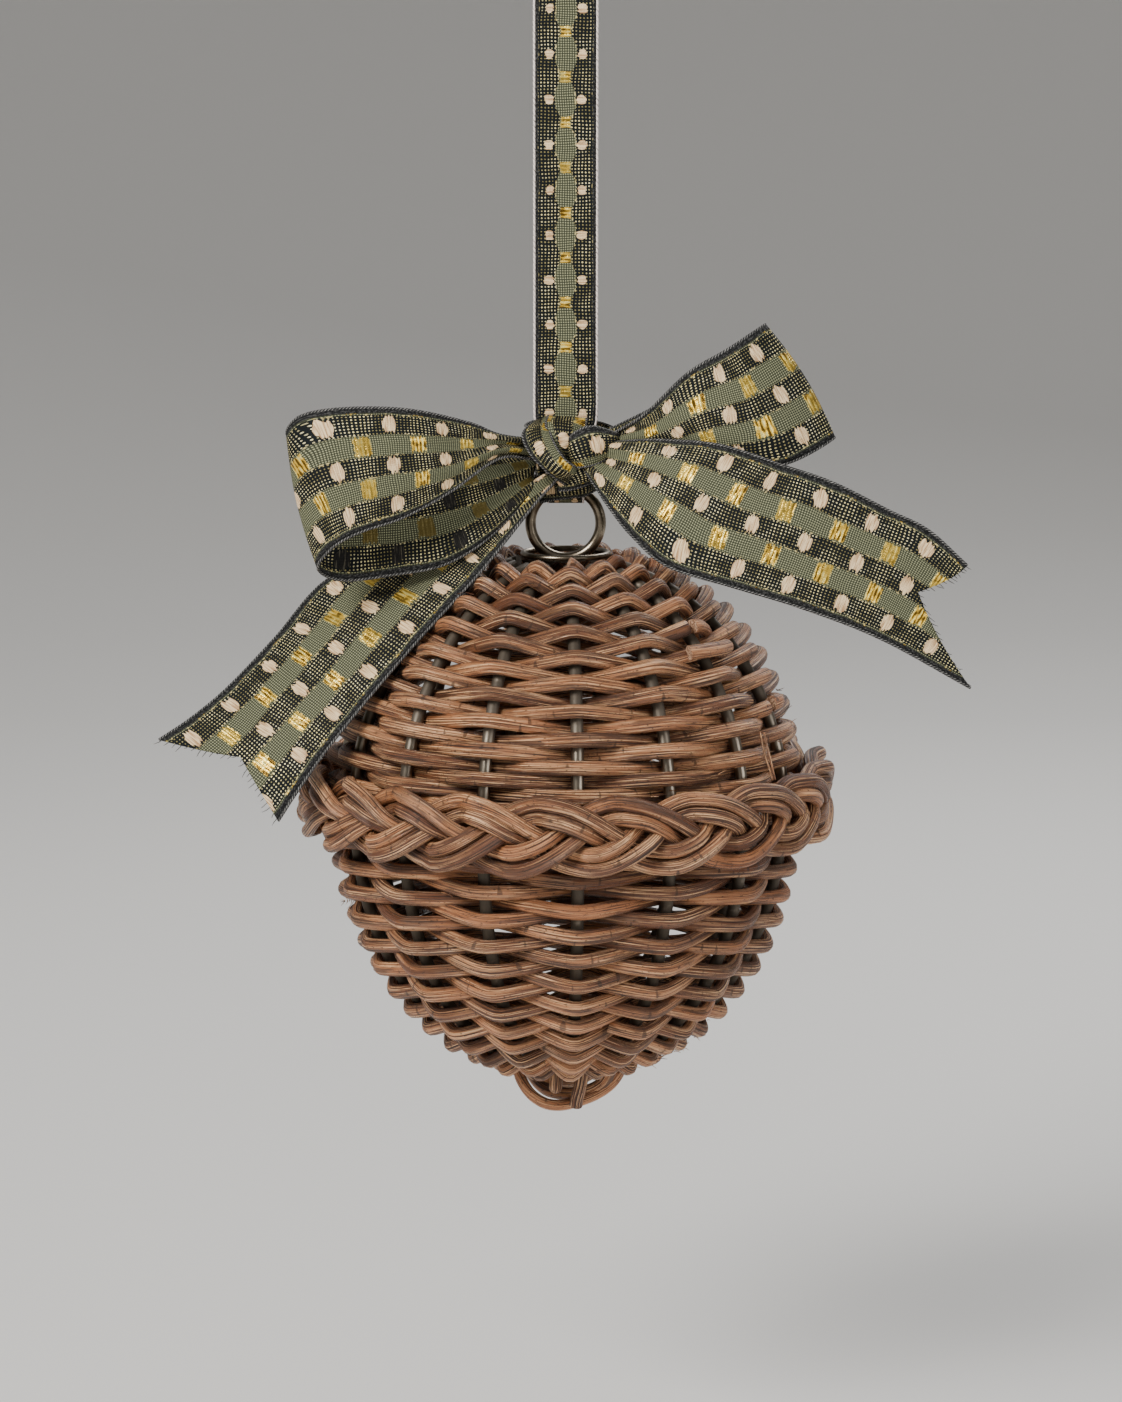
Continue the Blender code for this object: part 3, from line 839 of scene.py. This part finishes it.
# %% [markdown]
# The ground is a plain weave. Two crossed cosines make a grid of stitches: wide ones in the
# charcoal lanes, where a metallic thread shows, and finer ones in the sage. One noise lets some
# stitches sink, painting them darker as painted shade, and a slower one paints whole patches
# lighter as painted glints, most of all beside the gold.

# %% The ground weave


def thread_dots(pitch):
    """1 in the middle of each stitch of a square grid, and 0 between the stitches."""
    rate = math.tau / pitch
    first = bench.math("COSINE", bench.times(along, rate))
    second = bench.math("COSINE", bench.times(across, rate))
    return bench.times(bench.math("MULTIPLY_ADD", first, 0.5, 0.5),
                       bench.math("MULTIPLY_ADD", second, 0.5, 0.5))


wide_dots = thread_dots(0.00088)
fine_dots = thread_dots(0.00062)
# Painted glints: a slow noise lightens whole patches of stitches, most of all beside the gold.
painted_glint = bench.grain((length_way, 170.0), (width_way, 130.0), 2.0, 0.6)
painted_glint = bench.math("MULTIPLY_ADD", bench.minus(near_gold, 0.4), 0.12, painted_glint)
single = bench.grain((length_way, 1400.0), (width_way, 1400.0), 0.0)
stitch = bench.times(wide_dots, bench.step(single, 0.30, 0.60, 0.86, 1.10))
lit_stitch = bench.mix(near_gold, (0.92, 0.84, 0.50, 1.0), (0.98, 0.85, 0.41, 1.0))
stitch_color = bench.mix(bench.step(painted_glint, 0.40, 0.60), (0.270, 0.230, 0.095, 1.0), lit_stitch)
# Painted shade: stitches that the noise lets sink are darkened in colour.
sunk_shade_color = bench.mix(0.45, stitch_color, (0.10, 0.085, 0.035, 1.0))
stitch_color = bench.mix(bench.step(single, 0.36, 0.56), sunk_shade_color, stitch_color)
dark_ground = bench.mix(bench.step(stitch, 0.50, 0.72), (0.006, 0.008, 0.009, 1.0), stitch_color)
sage_ground = bench.mix(bench.step(fine_dots, 0.12, 0.66), (0.045, 0.049, 0.029, 1.0),
                        (0.358, 0.366, 0.216, 1.0))
ground = bench.mix(on_sage, dark_ground, sage_ground)
lane_edge = bench.math("ABSOLUTE", bench.minus(sage_far, pinched_half))
lane_edge = bench.times(bench.step(lane_edge, 0.0003, 0.0001), bench.step(single, 0.60, 0.68))
ground = bench.mix(lane_edge, ground, (0.60, 0.50, 0.22, 1.0))
print("ground woven")

# %% [markdown]
# A cream spot is a bundle of soft threads that float over the charcoal ground, so its ends are
# ragged. On the reverse side the same threads run loose and dark between the spots.

# %% Cream spots
ragged = bench.minus(bench.grain((length_way, 1700.0), (width_way, 90.0), 1.0), 0.5)
spot_u = bench.math("DIVIDE", spot_offset, bench.times(entry["Spot Length"], 0.5))
spot_across = bench.plus(lane_offset, bench.times(bench.math("SIGN", across), entry["Spot Shift"]))
spot_v = bench.math("DIVIDE", spot_across, bench.times(entry["Spot Width"], 0.5))
spot_v = bench.plus(bench.math("ABSOLUTE", spot_v), bench.times(ragged, 1.5))
spot_reach = bench.plus(bench.math("POWER", bench.math("ABSOLUTE", spot_u), 2.4),
                        bench.math("POWER", bench.math("MAXIMUM", spot_v, 0.0), 2.4))
spot = bench.times(bench.step(spot_reach, 1.08, 0.94), bench.minus(1.0, sage_lane))
spot_shade = bench.grain((length_way, 3000.0), (width_way, 160.0))
cream = bench.mix(bench.step(spot_shade, 0.36, 0.60), (0.50, 0.30, 0.15, 1.0),
                  (1.00, 0.76, 0.45, 1.0))
loose = bench.mix(bench.step(spot_shade, 0.54, 0.66), (0.014, 0.013, 0.012, 1.0),
                  (0.10, 0.09, 0.065, 1.0))
print("spots placed")

# %% [markdown]
# A gold block is a few flat bars of foil thread side by side. Bars that face the light are bright,
# and those turned away are dull, which a slow noise decides. The gold is metallic in the shader
# too, so that it goes on changing as the view does.

# %% Gold blocks
gold_u = bench.math("DIVIDE", gold_offset, bench.times(entry["Spot Length"], 0.58))
gold_u = bench.plus(bench.math("ABSOLUTE", gold_u), bench.times(bench.minus(single, 0.5), 0.35))
gold_v = bench.math("DIVIDE", lane_offset, bench.times(pinched_half, 0.84))
gold_v = bench.plus(bench.math("ABSOLUTE", gold_v), ragged)
gold = bench.times(bench.step(bench.math("MAXIMUM", gold_u, gold_v), 1.05, 0.95), sage_lane)
glint = bench.grain((length_way, 900.0), (width_way, 420.0), 1.0)
bar_place = bench.plus(gold_offset, bench.times(ragged, 0.0004))
bars = bench.math("COSINE", bench.times(bar_place, math.tau / 0.00098))
gold_threads = bench.math("MULTIPLY_ADD", bars, 0.13, glint)
foil = bench.mix(bench.step(gold_threads, 0.34, 0.56), (0.12, 0.065, 0.008, 1.0),
                 (0.92, 0.58, 0.070, 1.0))
foil = bench.mix(bench.step(gold_threads, 0.56, 0.68), foil, (1.0, 0.86, 0.28, 1.0))
turned_away = bench.grain((length_way, 70.0), (width_way, 60.0), 1.0)
foil = bench.veil(turned_away, 0.46, 0.60, 0.62, foil, (0.46, 0.325, 0.060, 1.0))
foil = bench.mix(entry["Reverse"], foil, (0.15, 0.115, 0.035, 1.0))
print("gold blocks placed")

# %% [markdown]
# At last the parts are laid over each other, and the dark, fluffy edge over them all. The same
# masks give the shine, since only the metallic threads and the gold are smooth, and the height,
# since spots and gold stand a little proud of the ground.

# %% The ribbon's colour, shine and height
edge_place = bench.minus(bench.math("ABSOLUTE", across), entry["Half Ground"])
edge = bench.step(edge_place, -0.0001, 0.0003)
lint = bench.grain((length_way, 1500.0), (width_way, 1900.0), 3.0, 0.7)
edge_color = bench.mix(bench.step(lint, 0.47, 0.66), (0.009, 0.0095, 0.010, 1.0),
                       (0.080, 0.080, 0.077, 1.0))
painted = bench.mix(spot, ground, bench.mix(entry["Reverse"], cream, loose))
painted = bench.mix(gold, painted, foil)
bench.feed(bench.mix(edge, painted, edge_color), exit_node.inputs["Color"])
bare_thread = bench.minus(1.0, bench.math("MAXIMUM", spot, on_sage))
thread_metal = bench.times(bench.times(bench.step(stitch, 0.3, 0.6), bare_thread), 0.25)
shining = bench.times(bench.minus(1.0, edge), bench.minus(1.0, bench.times(entry["Reverse"], 0.4)))
metal = bench.times(bench.math("MAXIMUM", thread_metal, bench.times(gold, 0.5)), shining)
bench.feed(metal, exit_node.inputs["Metallic"])
bench.feed(bench.step(metal, 0.0, 0.5, 0.70, 0.24), exit_node.inputs["Roughness"])
dots = bench.times(bench.plus(wide_dots, fine_dots), 0.3)
raised = bench.plus(bench.times(spot, spot_shade), bench.times(gold, gold_threads))
relief = bench.plus(bench.plus(dots, bench.times(raised, 1.4)), bench.times(edge, lint))
bench.feed(relief, exit_node.inputs["Height"])


def ribbon_material(name, **values):
    """A finish for one ribbon, with its own lanes and repeat."""
    material, own, shader = new_material(name, (0.25, 0.26, 0.15), 0.6)
    run, width = own.uv_ways()
    cloth = own.add("ShaderNodeGroup", node_tree=ribbon_group)
    own.feed(run, cloth.inputs["Along"])
    own.feed(width, cloth.inputs["Across"])
    for socket, value in values.items():
        cloth.inputs[socket.replace("_", " ").title()].default_value = value
    own.feed(cloth.outputs["Color"], shader.inputs["Base Color"])
    own.feed(cloth.outputs["Metallic"], shader.inputs["Metallic"])
    own.feed(cloth.outputs["Roughness"], shader.inputs["Roughness"])
    own.bump(shader, cloth.outputs["Height"], 0.6, 0.0003)
    shader.inputs["Specular IOR Level"].default_value = 0.15
    return material


bow_values = {"lane_width": 0.0062, "first_lane": 0.0, "repeat": 0.014, "half_ground": 0.0158,
              "spot_length": 0.0034, "spot_width": 0.0048, "sage_half": 0.0031}
strap_values = {"lane_width": 0.0048, "first_lane": 1.0, "repeat": 0.0115, "half_ground": 0.0068,
                "spot_length": 0.0024, "spot_width": 0.0023, "sage_half": 0.0026, "pinch": 0.42,
                "spot_shift": 0.0006}
bow_finish = ribbon_material("bow_ribbon", **bow_values)
bow_reverse = ribbon_material("bow_ribbon_reverse", reverse=1.0, **bow_values)
strap_finish = ribbon_material("strap_ribbon", **strap_values)
print("nodes in the ribbon group:", len(ribbon_group.nodes))

# %% [markdown]
# A ribbon is drawn between two edges. Each edge is a smooth curve through points read from the
# photograph, and the cloth between them may be pleated across near the knot, where it is gathered.
# A cloth simulation could tie a bow too, but it would find its own shape and not this one, and a
# stiff ribbon keeps the shape it was tied in.

# %% A ribbon between two edges
gather_fade = 3.5
notch_start = 0.6


def add_ribbon(builder, upper, lower, across, start_along=0.0, steps=8, lanes=20, notch=0.0,
               gather=(0.0, 0.0), pleats=2.0, belly=0.0, turned=False):
    """Lay a grid between two edges in millimetres. across tells which part of the width lies
    between them, notch cuts the end to a swallowtail, gather is the depth of the pleats at the
    start and the end, belly bows the middle out, and turned faces it the other way."""
    top = smooth_line(upper, steps)
    bottom = smooth_line(lower, steps)
    rows = len(top) - 1
    layer = uv_layer(builder)
    grid = bmesh.ops.create_grid(builder, x_segments=lanes, y_segments=rows, size=0.5)["verts"]
    middle = [(a + b) / 2 for a, b in zip(top, bottom)]
    travelled = travelled_along(middle)
    along = [start_along + distance * MM for distance in travelled]
    grid_place = {}
    for vert in grid:
        grid_place[vert] = (vert.co.x + 0.5, round((vert.co.y + 0.5) * rows))
    flat_place = {}
    end = []
    for vert in grid:
        share, row = grid_place[vert]
        cut = notch * (1 - abs(2 * share - 1))
        cut *= max(0.0, (row / rows - notch_start) / (1 - notch_start))
        exact = max(row - cut / travelled[-1] * rows, 0.0)
        low = min(int(exact), rows - 1)
        part = exact - low
        left = bottom[low].lerp(bottom[low + 1], part)
        right = top[low].lerp(top[low + 1], part)
        place = left.lerp(right, share)
        ahead = (middle[low + 1] - middle[low]).normalized()
        face_way = ahead.cross((right - left).normalized())
        travel = exact / rows
        fold = gather[0] * max(0.0, 1 - travel * gather_fade)
        fold += gather[1] * max(0.0, 1 - (1 - travel) * gather_fade)
        wave = fold * math.sin(math.tau * pleats * share)
        wave += belly * math.sin(math.pi * share) * math.sin(math.pi * travel)
        lead = (place - middle[low].lerp(middle[low + 1], part)).dot(ahead)
        flat_place[vert] = (along[low] + part * (along[low + 1] - along[low]) + lead * MM,
                            (across[0] + (across[1] - across[0]) * share) * MM)
        vert.co = (place + face_way * wave) * MM
        if row == rows:
            end.append((share, vert.co.copy(), ahead))
    faces = list({face for vert in grid for face in vert.link_faces})
    for face in faces:
        face.smooth = True
        for loop in face.loops:
            loop[layer].uv = flat_place[loop.vert]
    if turned:
        bmesh.ops.reverse_faces(builder, faces=faces)
    return top, bottom, sorted(end, key=lambda item: item[0])


def thicken(piece, thickness):
    """Give a flat ribbon its thickness, half on each side. Its last material is the reverse."""
    cloth = piece.modifiers.new("cloth thickness", "SOLIDIFY")
    cloth.thickness = thickness * MM
    cloth.offset = 0.0
    cloth.material_offset = len(piece.data.materials) - 1


print("pleats fade over 1 part in", gather_fade, "of a run")

# %% [markdown]
# The bow is one ribbon in ten visible runs: two loops, two tails, the folds that cross in the knot
# and the wrap on the ring. Every run is given by its two edges, point by point, in millimetres.

# %% The bow's edges
bow_width = 35.0
whole = (-bow_width / 2, bow_width / 2)
loop_left_top = [(-8, -6, -128), (-17, -13, -126), (-25, -17, -122.5), (-40, -25, -118.5),
                 (-56, -27, -118), (-67, -26, -120), (-71, -20, -125), (-67, -14, -127),
                 (-54, -11, -128), (-40, -10, -129), (-25, -7, -130), (-8, -2, -131)]
loop_left_low = [(-8, -7, -133), (-17, -14, -132), (-29, -22, -139.5), (-41, -28, -145.5),
                 (-52, -31, -149), (-59, -30, -153), (-63, -26, -159), (-57, -21, -162.5),
                 (-45, -19, -161.5), (-31, -17, -159), (-19, -13, -152), (-8, -6, -141)]
loop_right_top = [(11, -6, -127), (20, -12, -121), (31, -17, -110), (41, -17, -104),
                  (51, -10, -98), (45, -2, -103), (35, 2, -111), (25, 1, -119), (11, -1, -126)]
loop_right_low = [(11, -6, -131), (26, -14, -134), (40, -19, -134), (56, -18, -133),
                  (69, -10, -127), (60, -1, -130), (45, 2, -132), (30, 1, -133), (11, -1, -131)]
tail_right_top = [(9, -8, -129), (17, -14, -127.5), (27, -18, -127), (40, -22, -128),
                  (56, -25, -133), (68, -27, -137), (82, -27, -144), (92, -27, -149),
                  (102, -27, -158)]
tail_right_low = [(4, -9, -134), (7.5, -14, -139), (11, -18, -144), (17, -24, -151),
                  (26, -29, -158), (43, -32, -163), (60, -34, -168), (80, -33, -176),
                  (103, -30, -189)]
tail_left_top = [(-7, -4, -137), (-17, 0, -143), (-29, 3, -150), (-46, 6, -158), (-63, 2, -166),
                 (-75, -8, -179), (-87, -16, -191), (-96, -22, -198), (-104, -26, -203)]
tail_left_low = [(-2, -7, -138), (-7, -11, -143), (-12, -14, -149), (-17, -17, -155),
                 (-24, -21, -163), (-40, -27, -180), (-58, -32, -201), (-67, -36, -213),
                 (-73, -38, -222)]
wrap_left_outer = [(-8.2, -3, -123.5), (-11.0, -9, -126.4), (-9.1, -12, -130.9),
                   (-5.4, -13, -134.8), (-1.7, -11, -137.9), (1.4, -6, -140.6)]
wrap_left_inner = [(-4.9, -3, -122.4), (-4.0, -10, -126.1), (-2.4, -13, -129.5),
                   (-0.2, -14, -132.4), (2.1, -12, -134.2), (4.8, -6, -136.5)]
fold_left = [(-4.5, -3, -122.1), (-5.0, -8, -124.3), (-3.5, -10, -127.7), (-0.3, -10, -132.0)]
fold_right = [(5.4, -3, -122.8), (4.9, -7, -125.2), (3.3, -9, -128.1), (1.6, -9, -132.6)]
wrap_right_upper = [(14.6, -2, -127.4), (12.8, -9, -126.0), (6.7, -12, -124.0),
                    (1.9, -12, -126.0), (0.2, -8, -129.7)]
wrap_right_lower = [(13.6, -2, -131.6), (12.3, -9, -131.2), (8.2, -12, -133.4),
                    (3.8, -12, -134.4), (1.2, -8, -134.2)]
under_upper = [(-4.5, -3, -136.4), (0.0, -9, -135.3), (3.8, -10, -133.7), (8.2, -8, -133.0),
               (11.0, -3, -133.6)]
under_lower = [(-4.8, -3, -141.2), (0.0, -8, -140.8), (3.8, -9, -139.8), (7.7, -7, -138.4),
               (10.2, -3, -137.6)]
ring_wrap_upper = [(-7.5, -2, -138.6), (-3.5, -5.5, -138.7), (1.4, -6.5, -138.9),
                   (5.8, -5.5, -138.2), (8.7, -2, -137.0)]
ring_wrap_lower = [(-6.6, -2, -144.6), (-3.5, -4.5, -143.7), (0.9, -5.0, -143.0),
                   (4.8, -4.5, -142.6), (8.4, -2, -141.0)]
back_upper = [(-9.6, -4.5, -125.6), (-10.2, 0.5, -124.6), (-6.0, 4.4, -123.8), (2.0, 5.6, -123.6),
              (9.0, 4.4, -124.6), (13.2, 0.8, -126.0), (13.6, -4.5, -127.2)]
back_lower = [(-6.4, -4.5, -138.6), (-7.4, 0.5, -138.8), (-4.5, 4.2, -138.8), (2.0, 5.2, -138.6),
              (8.0, 4.2, -138.2), (11.6, 0.8, -137.2), (12.0, -4.5, -135.4)]

print("points along the left loop:", len(loop_left_top))

# %% [markdown]
# Each run takes the stretch of the pattern that lies there on the real ribbon, by its distance
# from the start in metres and its part of the width. All runs go into one mesh, because it is one
# ribbon, and a Solidify modifier gives it its thickness, with the reverse finish on the back.

# %% The bow
ribbon_runs = [
    (loop_left_top, loop_left_low, whole, 0.0, dict(gather=(1.1, 1.1), belly=-1.5)),
    (loop_right_top, loop_right_low, whole, 0.203, dict(gather=(1.0, 1.0), belly=1.5, turned=True)),
    (tail_right_top, tail_right_low, whole, 0.301,
     dict(steps=12, notch=11.0, gather=(1.6, 0.0), pleats=1.5, belly=1.0, turned=True)),
    (tail_left_top, tail_left_low, whole, 0.404,
     dict(steps=12, notch=12.0, gather=(1.8, 0.0), pleats=1.5, belly=-1.0)),
    (wrap_left_outer, wrap_left_inner, (-5.5, -17.5), 0.520, dict(lanes=14, belly=-1.8)),
    (fold_left, fold_right, (-7.0, 5.0), 0.551, dict(lanes=14, belly=-1.5)),
    (wrap_right_upper, wrap_right_lower, (7.0, 17.5), 0.575, dict(lanes=14, belly=-1.8)),
    (under_upper, under_lower, (-17.4, -8.0), 0.610, dict(lanes=12, belly=1.0, turned=True)),
    (ring_wrap_upper, ring_wrap_lower, (-17.4, -9.0), 0.640,
     dict(lanes=12, belly=1.0, turned=True)),
    (back_upper, back_lower, (17.4, 2.4), 0.660, dict(lanes=14, belly=0.8, turned=True))]
bow = bmesh.new()
edges = [add_ribbon(bow, upper, lower, part, start, **shape)
         for upper, lower, part, start, shape in ribbon_runs]
bow_nodes = ["bow_knot", "bow_loop_left", "bow_loop_right", "bow_tail_left", "bow_tail_right"]
bow_piece = finish_piece("bow", bow, [bow_finish, bow_reverse], bow_nodes,
                         closed=False)
thicken(bow_piece, 0.45)
print("bow faces:", len(bow_piece.data.polygons))

# %% [markdown]
# Both edges of the ribbon are overlocked with dark thread, so they end in a thin round bead. The
# beads are tubes of their own along the same edges. A bevelled curve would be as round, but the
# twist of the thread needs a UV map in metres. A tube's section mustn't face along its own line,
# so the loops and tails, which come first, get one facing way and the folds of the knot another.

# %% Selvedges
bead_radius = 0.38
tail_runs = slice(2, 4)


def thread_material(name, dark, light, pitch, lowest, highest):
    """Twisted thread: beads of light on dark, worked out from metres along the UV map. On the dark
    selvedge thread the sparse light beads are painted glints. The lower the two limits are, the
    more of the thread is light."""
    material, own, shader = new_material(name, dark, 0.8)
    run, girth = own.uv_ways()
    twist = own.math("SINE", own.times(own.plus(run, girth), math.tau / pitch))
    fluff = own.grain((run, 900.0), (girth, 900.0), 3.0, 0.7)
    share = own.step(own.plus(twist, own.times(fluff, 2.4)), lowest, highest)
    own.feed(own.mix(share, (*dark, 1.0), (*light, 1.0)), shader.inputs["Base Color"])
    own.bump(shader, twist, 0.4, 0.0002)
    return material


# On the dark selvedge thread the sparse light beads are painted glints.
selvedge_finish = thread_material("selvedge_thread", (0.016, 0.016, 0.017), (0.34, 0.33, 0.31),
                                  0.0009, 1.4, 2.5)
hem_finish = thread_material("strap_hem_thread", (0.22, 0.18, 0.16), (0.96, 0.85, 0.79), 0.0014,
                             -0.2, 0.9)
beads = bmesh.new()
for number, (top, bottom, end) in enumerate(edges):
    way = (0, 0, 1) if number < tail_runs.stop else (1, -0.4, 0)
    for line in (top, bottom):
        add_rod(beads, line, way, bead_radius, 6, number * 0.3, cap=0)
print("faces of the beads:", len(beads.faces))

# %% [markdown]
# The cut ends of the tails fray. A few single threads stick out of each, in slightly different
# directions, which come from the same smooth noise as the wander of the canes.

# %% Frayed ends
frayed_count = 26
frayed_radii = [0.11 * MM, 0.10 * MM, 0.05 * MM]
for number, (top, bottom, end) in enumerate(edges[tail_runs]):
    for step in range(frayed_count):
        share = (step + 0.5) / frayed_count * (len(end) - 1)
        low = int(share)
        start = end[low][1].lerp(end[low + 1][1], share - low)
        ahead = end[low][2]
        seed = number * 40 + step
        lean = Vector((wobble(seed * 1.7, 3, 1.0), wobble(seed * 1.3, 5, 0.8),
                       wobble(seed * 2.1, 7, 1.0)))
        reach = (1.0 + abs(wobble(seed * 0.9, 9, 2.6))) * MM
        way = (ahead + lean).normalized()
        line = [start - ahead * 0.8 * MM, start + way * reach * 0.5,
                start + way * reach + lean * 0.5 * MM]
        add_tube(beads, line, [Vector((0, -1, 0.2))] * 3, frayed_radii, 4, seed * 0.01, cap=0)
bow_beads = finish_piece("bow_selvedge", beads, [selvedge_finish])
print("selvedge faces:", len(bow_beads.data.polygons))

# %% [markdown]
# The narrow ribbon makes one closed loop: over the hook, down behind the knot and through the
# upright ring. It narrows where it is gathered in the ring.

# %% The hanging ribbon
strap_low, strap_high = (Vector(corner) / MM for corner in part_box("hanging_ribbon"))
strap_width = strap_high.x - strap_low.x
wall_room = 0.4
half_gap = (strap_high.y - strap_low.y) / 2 - wall_room
half_knot = 2.0
knot_top = -122.0
knot_foot = knot_top - 15.0
gathered = 9.0
hook_foot = strap_high.z - 6.0
turn_radius = 2.7


def even_steps(start, end, count):
    """Places from start to end in even steps, without the start."""
    return [tuple(a + (b - a) * step / count for a, b in zip(start, end))
            for step in range(1, count + 1)]


path = []
for step in range(13):
    angle = math.pi * step / 12
    path.append((-half_gap * math.cos(angle),
                 strap_high.z - wall_room - half_gap + half_gap * math.sin(angle), strap_width))
path += even_steps((half_gap, hook_foot, strap_width), (half_knot, knot_top, strap_width), 8)
path += even_steps((half_knot, knot_top, strap_width), (half_knot, knot_foot, gathered), 4)
for step in range(9):
    angle = math.pi * step / 8
    path.append((turn_radius * math.cos(angle),
                 strap_low.z + wall_room + turn_radius - turn_radius * math.sin(angle), gathered))
path += even_steps((-half_knot, knot_foot, gathered), (-half_knot, knot_top, strap_width), 4)
path += even_steps((-half_knot, knot_top, strap_width), (-half_gap, hook_foot, strap_width), 8)
left_edge = [(-width / 2, depth, height) for depth, height, width in path]
right_edge = [(width / 2, depth, height) for depth, height, width in path]
strap = bmesh.new()
strap_edges = add_ribbon(strap, right_edge, left_edge, (strap_width / 2, -strap_width / 2),
                         steps=4, lanes=12)
seam_gap = 2e-5
bmesh.ops.remove_doubles(strap, verts=strap.verts, dist=seam_gap)
strap_piece = finish_piece("strap", strap, [strap_finish], ["hanging_ribbon"],
                           closed=False)
thicken(strap_piece, 0.4)
print("strap faces:", len(strap_piece.data.polygons))

# %% [markdown]
# The narrow ribbon's edges are overlocked with a pale thread, which catches the light as a thin
# bright line on each side.

# %% The hanging ribbon's hems
hem_radius = 0.33
hems = bmesh.new()
for line in strap_edges[:2]:
    add_rod(hems, line, (1, 0, 0), hem_radius, 6, cap=0)
strap_hems = finish_piece("strap_hem", hems, [hem_finish])
print("hem faces:", len(strap_hems.data.polygons))

# %% [markdown]
# Last, the length in metres that each of the two ribbons was cut to is worked out.

# %% Ribbon lengths


def middle_length(top, bottom):
    """Length in metres of the line midway between two edges in millimetres."""
    return travelled_along([(a + b) / 2 for a, b in zip(top, bottom)])[-1] * MM


bow_length = sum(middle_length(top, bottom) for top, bottom, end in edges)
strap_length = middle_length(*strap_edges[:2])
print("ribbon lengths in m:", round(bow_length, 3), round(strap_length, 3))
